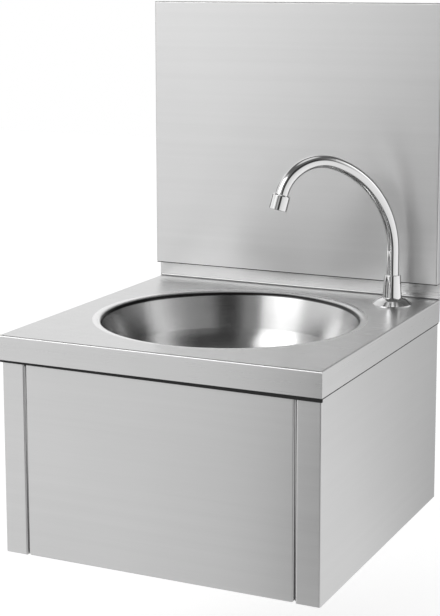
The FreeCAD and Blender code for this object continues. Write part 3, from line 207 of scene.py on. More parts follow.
def metal(name, color, roughness, grain_place, uneven=0.06, relief=0.05):
    """Bare metal whose grain lines vary its tone, gloss and relief, with edges painted lighter:
    partly wear, partly a painted highlight.

    grain_place makes the grain's coordinates in the material's own tree.
    """
    material, tree, shader = new_finish(name)
    shader.inputs["Metallic"].default_value = 1
    grain = add(tree, "ShaderNodeGroup", {"Coordinates": grain_place(tree)},
                node_tree=metal_grain)
    fine, wide, soft = (grain.outputs[label] for label in ("Lines", "Streaks", "Clouds"))
    total = reckon(tree, "ADD", reckon(tree, "ADD", fine, wide), soft)
    tone = between(tree, reckon(tree, "DIVIDE", total, 3.0), 0.0, 1.0)
    plain = blend(tree, tone, shade(color, 1 - uneven), shade(color, 1 + uneven))
    edge = add(tree, "ShaderNodeGroup", {"Width": EDGE_WEAR_AND_HIGHLIGHT_WIDTH}, node_tree=edge_wear_and_highlight)
    # Painted highlight and wear: the colour is made lighter along the edges.
    worn_and_highlit = blend(tree, edge.outputs["Edge"], plain, shade(color, EDGE_WEAR_AND_HIGHLIGHT_TONE))
    tree.links.new(worn_and_highlit, shader.inputs["Base Color"])
    tree.links.new(between(tree, fine, roughness * 0.92, roughness * 1.08),
                   shader.inputs["Roughness"])
    raise_relief(tree, fine, relief)
    return material


def dress(material, *nodes):
    """Gives one finish to CAD pieces."""
    for node in nodes:
        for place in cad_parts[node].material_slots:
            place.material = material


mill_steel = metal("mill_steel", (MILL_GREY,) * 3, 0.40, straight_grain(MILL_GRAIN), uneven=0.10)
dress(mill_steel, "wall_bracket", "hanging_rail", "rear_tie")


# ---------------------------------------------------------------- casing's side sheets
# Stainless sheet 1.2 mm thick with a fine brushed grain that runs level. Each side is folded
# in at the front to a narrow strip with a return, and at the wall to a flange.

SHEET_GREY = 0.62
SHEET_GRAIN = Vector((7, 900, 900))
FACES_ASIDE = 0.7


def level_grain(tree):
    """Grain that runs level along every upright face, whichever way it looks."""
    ahead = stretched_place(tree, SHEET_GRAIN)
    aside = stretched_place(tree, SHEET_GRAIN.yxz)
    surface = add(tree, "ShaderNodeNewGeometry")
    facing = add(tree, "ShaderNodeSeparateXYZ", {0: surface.outputs["True Normal"]})
    sideways = reckon(tree, "GREATER_THAN", reckon(tree, "ABSOLUTE", facing.outputs["X"]),
                      FACES_ASIDE)
    return add(tree, "ShaderNodeMix", {"Factor": sideways, "A": ahead, "B": aside},
               data_type="VECTOR").outputs["Result"]


def brushed(name, roughness=0.31, relief=0.02):
    """Brushed sheet: the grain draws highlights out across it, up and down the faces."""
    material = metal(name, (SHEET_GREY,) * 3, roughness, level_grain, uneven=0.035,
                     relief=relief)
    tree = material.node_tree
    shader = tree.nodes["Principled BSDF"]
    shader.inputs["Anisotropic"].default_value = 0.75
    across_grain = add(tree, "ShaderNodeCombineXYZ", {"Y": 0.2, "Z": 1.0})
    tree.links.new(across_grain.outputs[0], shader.inputs["Tangent"])
    return material


brushed_sheet = brushed("brushed_sheet")
dress(brushed_sheet, "side_panel_left", "side_panel_right")


# ---------------------------------------------------------------- deck
# Square top of 1.5 mm sheet, folded down to a skirt on three sides and up at the wall. It has
# the same level grain, a little more polished by wiping, with faint smears and dried drops. The
# inside of the fold at the wall has painted shade: its colour is darkened in a narrow band.

FOLD_RISE = 0.0018
FOLD_HALF = 0.0015
FOLD_SHADE_GREY = 0.46

# Marks of use: wide soft smears and small round drops.
marks_of_use, _, given = new_group(
    "marks_of_use", [], [("Smears", "Float"), ("Drops", "Float")])
point = add(marks_of_use, "ShaderNodeTexCoord")
smear = add(marks_of_use, "ShaderNodeTexNoise",
            {"Vector": point.outputs["Object"], "Scale": 16.0, "Detail": 5.0, "Distortion": 1.2})
cells = add(marks_of_use, "ShaderNodeTexVoronoi",
            {"Vector": point.outputs["Object"], "Scale": 55.0, "Randomness": 1.0})
marks_of_use.links.new(mask(marks_of_use, smear.outputs[0], 0.52, 0.72), given["Smears"])
marks_of_use.links.new(mask(marks_of_use, cells.outputs["Distance"], 0.16, 0.10), given["Drops"])


def use(material, smear_share, drop_share):
    """Adds smears and drops to a finish's roughness."""
    tree = material.node_tree
    rough = tree.nodes["Principled BSDF"].inputs["Roughness"]
    before = rough.links[0].from_socket
    marks = add(tree, "ShaderNodeGroup", node_tree=marks_of_use)
    for label, share in (("Smears", smear_share), ("Drops", drop_share)):
        before = reckon(tree, "MULTIPLY_ADD", marks.outputs[label], share, before)
    tree.links.new(before, rough)


def painted_shade_band(material, middle, half, grey):
    """Paints shade: darkens the colour in a narrow band at one height."""
    tree = material.node_tree
    bare = tree.nodes["Principled BSDF"].inputs["Base Color"]
    point = add(tree, "ShaderNodeTexCoord")
    height = add(tree, "ShaderNodeSeparateXYZ", {0: point.outputs["Object"]})
    off = reckon(tree, "ABSOLUTE", reckon(tree, "SUBTRACT", height.outputs["Z"], middle))
    shaded_share = mask(tree, off, half, half / 2)
    tree.links.new(blend(tree, shaded_share, bare.links[0].from_socket, grey), bare)


bowl_low, bowl_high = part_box("bowl")
deck_sheet = brushed("deck_sheet", 0.29, relief=0.006)
use(deck_sheet, 0.02, 0.008)

# The bowl's rim is flush with the deck, so the fold is measured up from it.
# Painted shade in the fold at the wall: a narrow band of darker colour.
painted_shade_band(deck_sheet, bowl_high.z + FOLD_RISE, FOLD_HALF, FOLD_SHADE_GREY)
dress(deck_sheet, "deck")


# ---------------------------------------------------------------- painted shadow under the skirt
# The skirt stands four millimetres proud of the casing. A thin black strip along its lower
# edge on three sides is painted shadow, standing for the shade under the step; the knee plate
# clears it.

SHADOW_STRIP_FRONT_DROP = 0.0048
SHADOW_STRIP_FRONT_TAPER = 0.0020
SHADOW_STRIP_FRONT_EDGE = 0.0004
SHADOW_STRIP_SIDE_DROP = 0.0018
SHADOW_STRIP_SIDE_EDGE = 0.0003
SHADOW_STRIP_SET_IN = 0.0006
SHADOW_STRIP_TO_WALL = 0.002
PLATE_CLEARANCE = 0.0003
SCUFFED_WIDTH = 0.0004

deck_low, deck_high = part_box("deck")
plate_low, plate_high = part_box("knee_panel")
casing_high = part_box("side_panel_right")[1]
skirt_foot = deck_low.z


def box_mesh(name, low, high):
    """A closed block between two corners."""
    mesh = bpy.data.meshes.new(name)
    block = bmesh.new()
    bmesh.ops.create_cube(block, size=1)
    block.to_mesh(mesh)
    block.free()
    mesh.transform(Matrix.Translation((low + high) / 2) @ Matrix.Diagonal((*(high - low), 1)))
    return mesh


def carried_out(blank):
    """The plain mesh that an object's modifiers make of it; the object itself goes."""
    done = blank.evaluated_get(bpy.context.evaluated_depsgraph_get())
    mesh = bpy.data.meshes.new_from_object(done)
    bpy.data.objects.remove(blank)
    return mesh


def softened(name, mesh, radius, body, material):
    """A mesh with its edges rounded, riding on a body."""
    blank = put_in_scene(name + "_blank", mesh)
    rounding = blank.modifiers.new("rounding", "BEVEL")
    rounding.width = radius
    rounding.segments = 3
    piece = put_in_scene(name, carried_out(blank))
    piece.data.materials.append(material)
    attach(piece, body)


# Moulded skin of plastics and rubber: a fine orange peel and scuffs from handling.
moulded_skin, taken, given = new_group(
    "moulded_skin", [("Fineness", "Float")], [("Peel", "Float"), ("Scuffs", "Float")])
point = add(moulded_skin, "ShaderNodeTexCoord")
peel = add(moulded_skin, "ShaderNodeTexNoise",
           {"Vector": point.outputs["Object"], "Scale": taken["Fineness"], "Detail": 2.0})
rub = add(moulded_skin, "ShaderNodeTexNoise",
          {"Vector": point.outputs["Object"], "Scale": 60.0, "Detail": 6.0, "Roughness": 0.7})
moulded_skin.links.new(peel.outputs[0], given["Peel"])
moulded_skin.links.new(mask(moulded_skin, rub.outputs[0], 0.5, 0.75), given["Scuffs"])


def moulded(name, color, roughness, fineness, relief, scuffed):
    """Moulded plastic or rubber: orange peel, scuffs and edges in a tone of their own."""
    material, tree, shader = new_finish(name)
    skin = add(tree, "ShaderNodeGroup", {"Fineness": fineness}, node_tree=moulded_skin)
    edge = add(tree, "ShaderNodeGroup", {"Width": SCUFFED_WIDTH}, node_tree=edge_wear_and_highlight)
    used = blend(tree, skin.outputs["Scuffs"], shade(color, 1.0), shade(color, scuffed))
    pale = blend(tree, edge.outputs["Edge"], used, shade(color, 1.0 + (scuffed - 1.0) * 2.0))
    tree.links.new(pale, shader.inputs["Base Color"])
    tree.links.new(between(tree, skin.outputs["Peel"], roughness * 0.9, roughness * 1.1),
                   shader.inputs["Roughness"])
    raise_relief(tree, skin.outputs["Peel"], relief)
    return material


rubber = moulded("black_rubber", (0.010, 0.010, 0.010), 0.85, 2400, 0.25, 1.6)
# Painted shadow: a black strip under the front of the skirt, thinner at its left end.
front_shadow_strip = box_mesh("skirt_lip_front",
                     Vector((deck_low.x + SHADOW_STRIP_SET_IN, deck_low.y + SHADOW_STRIP_SET_IN,
                             skirt_foot - SHADOW_STRIP_FRONT_DROP)),
                     Vector((deck_high.x - SHADOW_STRIP_SET_IN, plate_low.y - PLATE_CLEARANCE,
                             skirt_foot)))
for corner in front_shadow_strip.vertices:
    if corner.co.z < skirt_foot - SHADOW_STRIP_FRONT_DROP / 2 and corner.co.x < 0:
        corner.co.z += SHADOW_STRIP_FRONT_TAPER
softened("skirt_lip_front", front_shadow_strip, SHADOW_STRIP_FRONT_EDGE, "casing", rubber)
# Painted shadow: black strips under the sides of the skirt.
for label, inner, outer in (("left", -casing_high.x, deck_low.x + SHADOW_STRIP_SET_IN),
                            ("right", casing_high.x, deck_high.x - SHADOW_STRIP_SET_IN)):
    side_shadow_strip = box_mesh(f"skirt_lip_{label}",
                        Vector((min(inner, outer), plate_low.y, skirt_foot - SHADOW_STRIP_SIDE_DROP)),
                        Vector((max(inner, outer), -SHADOW_STRIP_TO_WALL, skirt_foot)))
    softened(f"skirt_lip_{label}", side_shadow_strip, SHADOW_STRIP_SIDE_EDGE, "casing", rubber)


# ---------------------------------------------------------------- edging beside the plate
# A grey plastic edging is pressed onto the return of each front strip, so that the knee plate
# doesn't rattle against steel. It stands nearly flush at the top and runs back lower down.

EDGING_CLEARANCE = 0.00025
EDGING_REACH = 0.002
EDGING_SET_BACK_TOP = 0.0003
EDGING_SET_BACK_FOOT = 0.0040
EDGING_DEPTH = 0.0060
EDGING_BELOW_SHADOW_STRIP = 0.0004
EDGING_ABOVE_FOOT = 0.001
EDGING_EDGE = 0.00015

grey_edging = moulded("grey_edging", (0.34, 0.34, 0.34), 0.5, 1800, 0.15, 1.1)
edging_top = skirt_foot - SHADOW_STRIP_FRONT_DROP - EDGING_BELOW_SHADOW_STRIP
edging_foot = plate_low.z + EDGING_ABOVE_FOOT
front = plate_low.y
for label, side in (("left", -1), ("right", 1)):
    near = side * (plate_high.x + EDGING_CLEARANCE)
    far = side * (plate_high.x + EDGING_REACH)
    edging = box_mesh(f"plate_edging_{label}",
                      Vector((min(near, far), front + EDGING_SET_BACK_TOP, edging_foot)),
                      Vector((max(near, far), front + EDGING_DEPTH, edging_top)))
    for corner in edging.vertices:
        if corner.co.z < 0 and corner.co.y < front + EDGING_DEPTH / 2:
            corner.co.y = front + EDGING_SET_BACK_FOOT
    softened(f"plate_edging_{label}", edging, EDGING_EDGE, "casing", grey_edging)


# ---------------------------------------------------------------- bowl
# Pressed from one round blank, polished on a turning machine and welded flush into the deck,
# so its grain runs round in rings. Its rim rolls over from the flat of the deck, and the band
# under the roll is painted dark: painted shade where the roll hides it from the light.

BOWL_GREY = 0.62
RING_GRAIN = (800, 800, 10)
RIM_SHADE_DROP = 0.0036
RIM_SHADE_HALF = 0.0024
RIM_SHADE_GREY = 0.05
bowl_centre = (bowl_low + bowl_high) / 2


def place_off_axis(tree, centre):
    """The point on the piece, measured from an upright axis."""
    point = add(tree, "ShaderNodeTexCoord")
    return add(tree, "ShaderNodeMapping",
               {"Vector": point.outputs["Object"],
                "Location": (-centre.x, -centre.y, 0)}).outputs[0]


def ring_grain(centre):
    """Grain in rings round an upright axis."""
    def ring_place(tree):
        split = add(tree, "ShaderNodeSeparateXYZ", {0: place_off_axis(tree, centre)})
        flat = add(tree, "ShaderNodeCombineXYZ",
                   {"X": split.outputs["X"], "Y": split.outputs["Y"]})
        reach = add(tree, "ShaderNodeVectorMath", {0: flat.outputs[0]}, operation="LENGTH")
        rings = add(tree, "ShaderNodeCombineXYZ",
                    {"X": reach.outputs["Value"], "Y": split.outputs["Z"],
                     "Z": split.outputs["X"]})
        return add(tree, "ShaderNodeVectorMath", {0: rings.outputs[0], 1: RING_GRAIN},
                   operation="MULTIPLY").outputs[0]
    return ring_place


bowl_steel = metal("bowl_steel", (BOWL_GREY,) * 3, 0.22, ring_grain(bowl_centre), uneven=0.03)
tree = bowl_steel.node_tree
shader = tree.nodes["Principled BSDF"]
shader.inputs["Anisotropic"].default_value = 0.55
shader.inputs["Anisotropic Rotation"].default_value = 0.25
round_axis = add(tree, "ShaderNodeVectorMath",
                 {0: (0, 0, 1), 1: place_off_axis(tree, bowl_centre)},
                 operation="CROSS_PRODUCT")
tree.links.new(round_axis.outputs[0], shader.inputs["Tangent"])
use(bowl_steel, 0.03, 0.02)
# Painted shade under the rim's roll: a dark band in the bowl's colour.
painted_shade_band(bowl_steel, bowl_high.z - RIM_SHADE_DROP, RIM_SHADE_HALF, RIM_SHADE_GREY)
dress(bowl_steel, "bowl")


# ---------------------------------------------------------------- splash panel
# Tall tray of 1.2 mm brushed sheet, open to the wall. A folded hook is spot welded to its
# back and hangs on the upper rail; two rubber blocks keep its foot off the deck's upstand.
# A thin black strip under its lower edge is painted shadow, standing for the shade in the joint.

SPOT_WELDS = 6
SPOT_WELD_PITCH = 0.044
SPOT_WELD_RADIUS = 0.0024
SPOT_WELD_FLATNESS = 0.12
SPOT_WELD_RISE = 0.008
HOOK_FACE = -0.0103
JOINT_SHADOW_HEIGHT = 0.0012
JOINT_SHADOW_SET_IN = 0.0005
JOINT_SHADOW_EDGE = 0.0003
UPSTAND_SHEET = 0.0015

splash_sheet = brushed("splash_sheet", 0.40)
dress(splash_sheet, "splash_panel")
dress(mill_steel, "splash_rail", "splash_hook")
dress(rubber, "splash_spacers")

splash_low, splash_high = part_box("splash_panel")
# Painted shadow: a thin black strip under the splash panel's lower edge.
seal = box_mesh("splash_joint_shadow",
                Vector((splash_low.x + JOINT_SHADOW_SET_IN, splash_low.y + JOINT_SHADOW_SET_IN,
                        splash_low.z - JOINT_SHADOW_HEIGHT)),
                Vector((splash_high.x - JOINT_SHADOW_SET_IN, -UPSTAND_SHEET, splash_low.z)))
softened("splash_joint_shadow", seal, JOINT_SHADOW_EDGE, "casing", rubber)


def geometry_tree(name, sizes):
    """An empty tree of Geometry Nodes with named sizes, and its sockets."""
    tree = bpy.data.node_groups.new(name, "GeometryNodeTree")
    for label, kind in sizes.items():
        tree.interface.new_socket(name=label, in_out="INPUT", socket_type="NodeSocket" + kind)
    tree.interface.new_socket(name="Material", in_out="INPUT", socket_type="NodeSocketMaterial")
    tree.interface.new_socket(name="Geometry", in_out="OUTPUT",
                              socket_type="NodeSocketGeometry")
    return tree, add(tree, "NodeGroupInput").outputs


def close_tree(tree, taken, geometry):
    """Ends a tree: instances are made real and take their finish."""
    real = add(tree, "GeometryNodeRealizeInstances", {0: geometry})
    coated = add(tree, "GeometryNodeSetMaterial",
                 {"Geometry": real.outputs[0], "Material": taken["Material"]})
    add(tree, "NodeGroupOutput", {"Geometry": coated.outputs[0]})


def grow(name, tree, sizes, at, body, material):
    """Runs a tree and keeps what it grows as a plain mesh that rides on a body."""
    seed = put_in_scene(name + "_seed", bpy.data.meshes.new(name + "_seed"))
    growth = seed.modifiers.new("growth", "NODES")
    growth.node_group = tree
    wanted = {**sizes, "Material": material}
    for socket in tree.interface.items_tree:
        if socket.in_out == "INPUT":
            growth[socket.identifier] = wanted[socket.name]
    mesh = carried_out(seed)
    mesh.name = name
    mesh.transform(at)
    piece = put_in_scene(name, mesh)
    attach(piece, body)
    return piece


# A row of flat round welds along X, standing on the plane that faces the wall.
weld_row, taken = geometry_tree(
    "weld_row", {"Welds": "Int", "Pitch": "Float", "Radius": "Float"})
step = add(weld_row, "ShaderNodeCombineXYZ", {"X": taken["Pitch"]})
row = add(weld_row, "GeometryNodeMeshLine", {"Count": taken["Welds"], "Offset": step.outputs[0]})
bead = add(weld_row, "GeometryNodeMeshUVSphere",
           {"Segments": 20, "Rings": 8, "Radius": taken["Radius"]})
beads = add(weld_row, "GeometryNodeInstanceOnPoints",
            {"Points": row.outputs[0], "Instance": bead.outputs[0],
             "Scale": (1, SPOT_WELD_FLATNESS, 1)})
close_tree(weld_row, taken, beads.outputs[0])

hook_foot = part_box("splash_hook")[0].z
weld_start = Vector((-(SPOT_WELDS - 1) * SPOT_WELD_PITCH / 2, HOOK_FACE,
                     hook_foot + SPOT_WELD_RISE))
grow("splash_hook_welds", weld_row,
     {"Welds": SPOT_WELDS, "Pitch": SPOT_WELD_PITCH, "Radius": SPOT_WELD_RADIUS},
     Matrix.Translation(weld_start), "casing", mill_steel)


# ---------------------------------------------------------------- knee plate and its pivots
# The middle of the front, a plate of brushed sheet with its edges folded in. It hangs on two
# turned shoulder pins near its top, each with a nylon washer in the gap, and swings in when
# a knee pushes it.

PIN_GREY = 0.56
PIN_GRAIN = (1500, 40, 40)
NYLON = (0.80, 0.79, 0.75)

pin_steel = metal("pin_steel", (PIN_GREY,) * 3, 0.28, straight_grain(PIN_GRAIN))
nylon = moulded("natural_nylon", NYLON, 0.45, 1800, 0.15, 0.93)
dress(brushed_sheet, "knee_panel")
dress(pin_steel, "pivot_pin_left", "pivot_pin_right")
dress(nylon, "pivot_washers")


# ---------------------------------------------------------------- knee pad
# Nylon block on the plate's back, held by two welded studs and their nuts. Its slot keeps
# hold of the valve's button, so that the plate and the plunger move together.

STUD_RADIUS = 0.0020
STUD_PITCH = 0.0007
STUD_SPREAD = 0.021
STUD_GRAIN = (40, 1500, 40)

stud_steel = metal("stud_steel", (PIN_GREY,) * 3, 0.33, straight_grain(STUD_GRAIN))
dress(nylon, "knee_pad")
dress(stud_steel, "knee_pad_studs", "knee_pad_nuts")


def winding(tree, steps, turns, radius, length):
    """A line wound evenly round the upright axis."""
    return add(tree, "GeometryNodeCurveSpiral",
               {"Resolution": steps, "Rotations": turns, "Start Radius": radius,
                "End Radius": radius, "Height": length}).outputs[0]


def drawn_wire(tree, line, sides, radius):
    """A wire that follows a line, with closed ends."""
    section = add(tree, "GeometryNodeCurvePrimitiveCircle",
                  {"Resolution": sides, "Radius": radius})
    return add(tree, "GeometryNodeCurveToMesh",
               {"Curve": line, "Profile Curve": section.outputs[0],
                "Fill Caps": True}).outputs[0]


# A screw thread: a ridge of diamond section wound round the upright axis.
screw_thread, taken = geometry_tree(
    "screw_thread", {"Radius": "Float", "Length": "Float", "Pitch": "Float", "Ridge": "Float"})
turns = reckon(screw_thread, "DIVIDE", taken["Length"], taken["Pitch"])
wound = winding(screw_thread, 28, turns, taken["Radius"], taken["Length"])
close_tree(screw_thread, taken, drawn_wire(screw_thread, wound, 4, taken["Ridge"]))

UPRIGHT = Matrix.Identity(4)
TO_THE_WALL = Matrix.Rotation(-math.pi / 2, 4, "X")


def thread(name, start, way, radius, length, pitch, body, material):
    """Winds a thread on a CAD piece, its ridge half sunk in the plain rod."""
    ridge = pitch * 0.3
    grow(name, screw_thread,
         {"Radius": radius - ridge * 0.6, "Length": length, "Pitch": pitch, "Ridge": ridge},
         Matrix.Translation(start) @ way, body, material)


stud_low, stud_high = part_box("knee_pad_studs")
stud_height = (stud_low.z + stud_high.z) / 2
for side, label in ((-1, "left"), (1, "right")):
    thread(f"pad_stud_thread_{label}", Vector((side * STUD_SPREAD, stud_low.y, stud_height)),
           TO_THE_WALL, STUD_RADIUS, stud_high.y - stud_low.y, STUD_PITCH,
           "knee_plate", stud_steel)


# ---------------------------------------------------------------- self-closing valve
# Machined brass body on a channel of mill finish steel. Its neck passes through the channel
# and is locked by a nut. A ground plunger with a rubber seal is pushed back by a coil spring.

BRASS = (0.72, 0.53, 0.25)
BRASS_GRAIN = Vector((35, 1400, 35))
PLUNGER_GREY = 0.64
PLUNGER_GRAIN = (35, 2200, 35)
SPRING_GREY = 0.46
SPRING_GRAIN = (400, 400, 400)
SPRING_WIRE = 0.0016
SPRING_TURNS = 8.0
NECK_RADIUS = 0.012
NECK_LENGTH = 0.012
NECK_PITCH = 0.0015

turned_to_wall = metal("turned_brass", BRASS, 0.30, straight_grain(BRASS_GRAIN), uneven=0.05)
ground_steel = metal("ground_steel", (PLUNGER_GREY,) * 3, 0.18, straight_grain(PLUNGER_GRAIN),
                     uneven=0.03)
spring_steel = metal("spring_steel", (SPRING_GREY,) * 3, 0.30, straight_grain(SPRING_GRAIN))
dress(mill_steel, "valve_rail")
dress(turned_to_wall, "valve_body", "valve_lock_nut", "valve_bonnet", "valve_end_cap")
dress(ground_steel, "valve_plunger")
dress(rubber, "plunger_seal")

# A compression spring along the upright axis, with its end turns wound closed.
coil_spring, taken = geometry_tree(
    "coil_spring", {"Radius": "Float", "Wire": "Float", "Length": "Float", "Turns": "Float"})
even = winding(coil_spring, 32, taken["Turns"], taken["Radius"], taken["Length"])
along = add(coil_spring, "GeometryNodeSplineParameter")
lay = add(coil_spring, "ShaderNodeFloatCurve", {"Value": along.outputs["Factor"]})
for share, height in ((0.14, 0.06), (0.86, 0.94)):
    lay.mapping.curves[0].points.new(share, height)
lay.mapping.update()
spot = add(coil_spring, "GeometryNodeInputPosition")
flat = add(coil_spring, "ShaderNodeSeparateXYZ", {0: spot.outputs[0]})
laid = add(coil_spring, "ShaderNodeCombineXYZ",
           {"X": flat.outputs["X"], "Y": flat.outputs["Y"],
            "Z": reckon(coil_spring, "MULTIPLY", lay.outputs[0], taken["Length"])})
wound = add(coil_spring, "GeometryNodeSetPosition",
            {"Geometry": even, "Position": laid.outputs[0]})
close_tree(coil_spring, taken, drawn_wire(coil_spring, wound.outputs[0], 10, taken["Wire"]))

sleeve_low, sleeve_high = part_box("valve_spring")
sleeve_middle = (sleeve_low + sleeve_high) / 2
sleeve_length = sleeve_high.y - sleeve_low.y
coil_radius = (sleeve_high.x - sleeve_low.x - SPRING_WIRE) / 2
coil_start = Vector((sleeve_middle.x, sleeve_low.y + SPRING_WIRE / 2, sleeve_middle.z))
spring = grow("valve_coil_spring", coil_spring,
              {"Radius": coil_radius, "Wire": SPRING_WIRE / 2,
               "Length": sleeve_length - SPRING_WIRE, "Turns": SPRING_TURNS},
              Matrix.Translation(coil_start) @ TO_THE_WALL, "casing",
              spring_steel)
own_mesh(spring)
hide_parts("valve_spring")

neck_start = Vector((0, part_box("valve_body")[0].y, sleeve_middle.z))
thread("valve_neck_thread", neck_start, TO_THE_WALL, NECK_RADIUS, NECK_LENGTH, NECK_PITCH,
       "casing", turned_to_wall)


# ---------------------------------------------------------------- hot and cold mixer
# Brass barrel on the valve's left port, with a check valve for each supply and a spindle that
# blends them. The black knob on its end is reached from under the sink.

KNOB_BLACK = (0.025, 0.025, 0.028)
GRIP_RIBS = 16
GRIP_RIB_RADIUS = 0.0007
GRIP_RIB_LENGTH = 0.009
GRIP_RIB_SUNK = 0.0002
SUPPLY_RADIUS = 0.010475
SUPPLY_LENGTH = 0.014
SUPPLY_PITCH = 0.0018

turned_across = metal("cross_turned_brass", BRASS, 0.30, straight_grain(BRASS_GRAIN.yxz),
                      uneven=0.05)
knob_plastic = moulded("knob_plastic", KNOB_BLACK, 0.42, 1500, 0.2, 1.5)
dress(turned_across, "mixer_body", "mixer_union_nut", "mixer_gland", "blend_spindle")
dress(turned_to_wall, "check_valve_hot", "check_valve_cold")
dress(knob_plastic, "blend_knob")

for supply in ("hot", "cold"):
    low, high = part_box(f"check_valve_{supply}")
    thread(f"{supply}_supply_thread",
           Vector(((low.x + high.x) / 2, high.y - SUPPLY_LENGTH, (low.z + high.z) / 2)),
           TO_THE_WALL, SUPPLY_RADIUS, SUPPLY_LENGTH, SUPPLY_PITCH,
           "casing", turned_to_wall)

# Grip ribs: half round bars set evenly round the upright axis.
grip_ribs, taken = geometry_tree(
    "grip_ribs", {"Ribs": "Int", "Radius": "Float", "Rib": "Float", "Height": "Float"})
ring = add(grip_ribs, "GeometryNodeMeshCircle",
           {"Vertices": taken["Ribs"], "Radius": taken["Radius"]})
bar = add(grip_ribs, "GeometryNodeMeshCylinder",
          {"Vertices": 10, "Radius": taken["Rib"], "Depth": taken["Height"]})
bars = add(grip_ribs, "GeometryNodeInstanceOnPoints",
           {"Points": ring.outputs[0], "Instance": bar.outputs["Mesh"]})
close_tree(grip_ribs, taken, bars.outputs[0])

# A wing on the knob stands up past its rim, so its middle is measured up from below.
knob_low, knob_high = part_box("blend_knob")
knob_radius = (knob_high.y - knob_low.y) / 2
knob_middle = Vector(((knob_low.x + knob_high.x) / 2, (knob_low.y + knob_high.y) / 2,
                      knob_low.z + knob_radius))
ACROSS = Matrix.Rotation(math.pi / 2, 4, "Y")
grow("blend_knob_ribs", grip_ribs,
     {"Ribs": GRIP_RIBS, "Radius": knob_radius - GRIP_RIB_SUNK, "Rib": GRIP_RIB_RADIUS,
      "Height": GRIP_RIB_LENGTH},
     Matrix.Translation(knob_middle) @ ACROSS, "blend_control", knob_plastic)


# ---------------------------------------------------------------- outlet pipe
# Copper pipe 12 mm thick from the valve's right port, bent round the bowl and up into the
# tap's tail, with a brass nut at each end. The copper has dulled in places.

COPPER = (0.70, 0.36, 0.24)
COPPER_GRAIN = (120, 120, 120)
drawn_copper = metal("drawn_copper", COPPER, 0.30, straight_grain(COPPER_GRAIN), uneven=0.16)
dress(drawn_copper, "outlet_pipe")
dress(turned_across, "pipe_nut_lower")


# ---------------------------------------------------------------- tap
# Brass body through the deck, locked from below by a washer and a nut. A pressed cover and a
# tapered collar, both polished and chromium plated, hide it above the deck.

CHROME_GREY = 0.80
CHROME_GRAIN = (60, 60, 60)
SHANK_RADIUS = 0.0135
SHANK_CHAMFER = 0.001
SHANK_PITCH = 0.0018

turned_upright = metal("upright_turned_brass", BRASS, 0.30, straight_grain(BRASS_GRAIN.xzy),
                       uneven=0.05)
plating = metal("chromium_plating", (CHROME_GREY,) * 3, 0.055, straight_grain(CHROME_GRAIN),
                uneven=0.015, relief=0.01)
use(plating, 0.04, 0.03)
dress(turned_upright, "tap_body", "tap_tail", "tap_back_nut", "pipe_nut_upper")
dress(rubber, "tap_gasket")
dress(nylon, "tap_washer")
dress(plating, "tap_rosette", "tap_collar")

shank_low, shank_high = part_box("tap_body")
tap_axis = (shank_low + shank_high) / 2
thread("tap_shank_thread", Vector((tap_axis.x, tap_axis.y, shank_low.z + SHANK_CHAMFER)),
       UPRIGHT, SHANK_RADIUS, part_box("tap_back_nut")[1].z - shank_low.z, SHANK_PITCH,
       "casing", turned_upright)


# ---------------------------------------------------------------- spout
# Swan neck of plated 16 mm tube in two bends. Its brass foot turns in the tap body on two
# rubber rings, and a pin limits the turn. The flow insert in its end has a fine steel screen.

SCREEN_RADIUS = 0.0090
SCREEN_CELL = 0.0009
SCREEN_WIRE = 0.00012
SCREEN_OFFSET = 0.0069
FLOW = Vector((-0.1899, -0.1880, -0.9636))

dress(plating, "spout", "aerator_housing")
dress(turned_upright, "spout_foot")
dress(spring_steel, "spout_stop_pin")
dress(rubber, "spout_seals")
dress(nylon, "aerator_insert")

# A woven screen: a square net cut round, each of its threads a thin wire.
wire_screen, taken = geometry_tree(
    "wire_screen", {"Radius": "Float", "Cells": "Int", "Wire": "Float"})
width = reckon(wire_screen, "MULTIPLY", taken["Radius"], 2.0)
net = add(wire_screen, "GeometryNodeMeshGrid",
          {"Size X": width, "Size Y": width,
           "Vertices X": taken["Cells"], "Vertices Y": taken["Cells"]})
spot = add(wire_screen, "GeometryNodeInputPosition")
reach = add(wire_screen, "ShaderNodeVectorMath", {0: spot.outputs[0]}, operation="LENGTH")
outside = reckon(wire_screen, "GREATER_THAN", reach.outputs["Value"], taken["Radius"])
disc = add(wire_screen, "GeometryNodeDeleteGeometry",
           {"Geometry": net.outputs[0], "Selection": outside}, domain="POINT")
threads = add(wire_screen, "GeometryNodeMeshToCurve", {"Mesh": disc.outputs[0]})
close_tree(wire_screen, taken, drawn_wire(wire_screen, threads.outputs[0], 4, taken["Wire"]))

insert_low, insert_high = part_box("aerator_insert")
mouth = (insert_low + insert_high) / 2 + FLOW * SCREEN_OFFSET
grow("aerator_screen", wire_screen,
     {"Radius": SCREEN_RADIUS, "Cells": round(2 * SCREEN_RADIUS / SCREEN_CELL) + 1,
      "Wire": SCREEN_WIRE},
     Matrix.Translation(mouth) @ FLOW.to_track_quat("Z", "Y").to_matrix().to_4x4(),
     "swan_neck", spring_steel)


# ---------------------------------------------------------------- waste
# Flanged waste of polished steel in the bowl's seat. A round strainer is held by one screw
# with a crossed slot, and a rubber ring and a plastic nut close the joint from below.

POLISHED_GREY = 0.68
TRAP_WHITE = (0.80, 0.80, 0.785)
SLOT_WIDTH = 0.0011
SLOT_LENGTH = 0.0056
SLOT_DEPTH = 0.0011
WASTE_RADIUS = 0.0209
WASTE_CHAMFER = 0.001
WASTE_PITCH = 0.0023

polished_steel = metal("polished_steel", (POLISHED_GREY,) * 3, 0.16, ring_grain(bowl_centre),
                       uneven=0.03)
trap_plastic = moulded("trap_plastic", TRAP_WHITE, 0.32, 700, 0.06, 0.95)
dress(polished_steel, "waste_body", "waste_strainer")
dress(rubber, "waste_seal_ring")
dress(trap_plastic, "waste_back_nut")


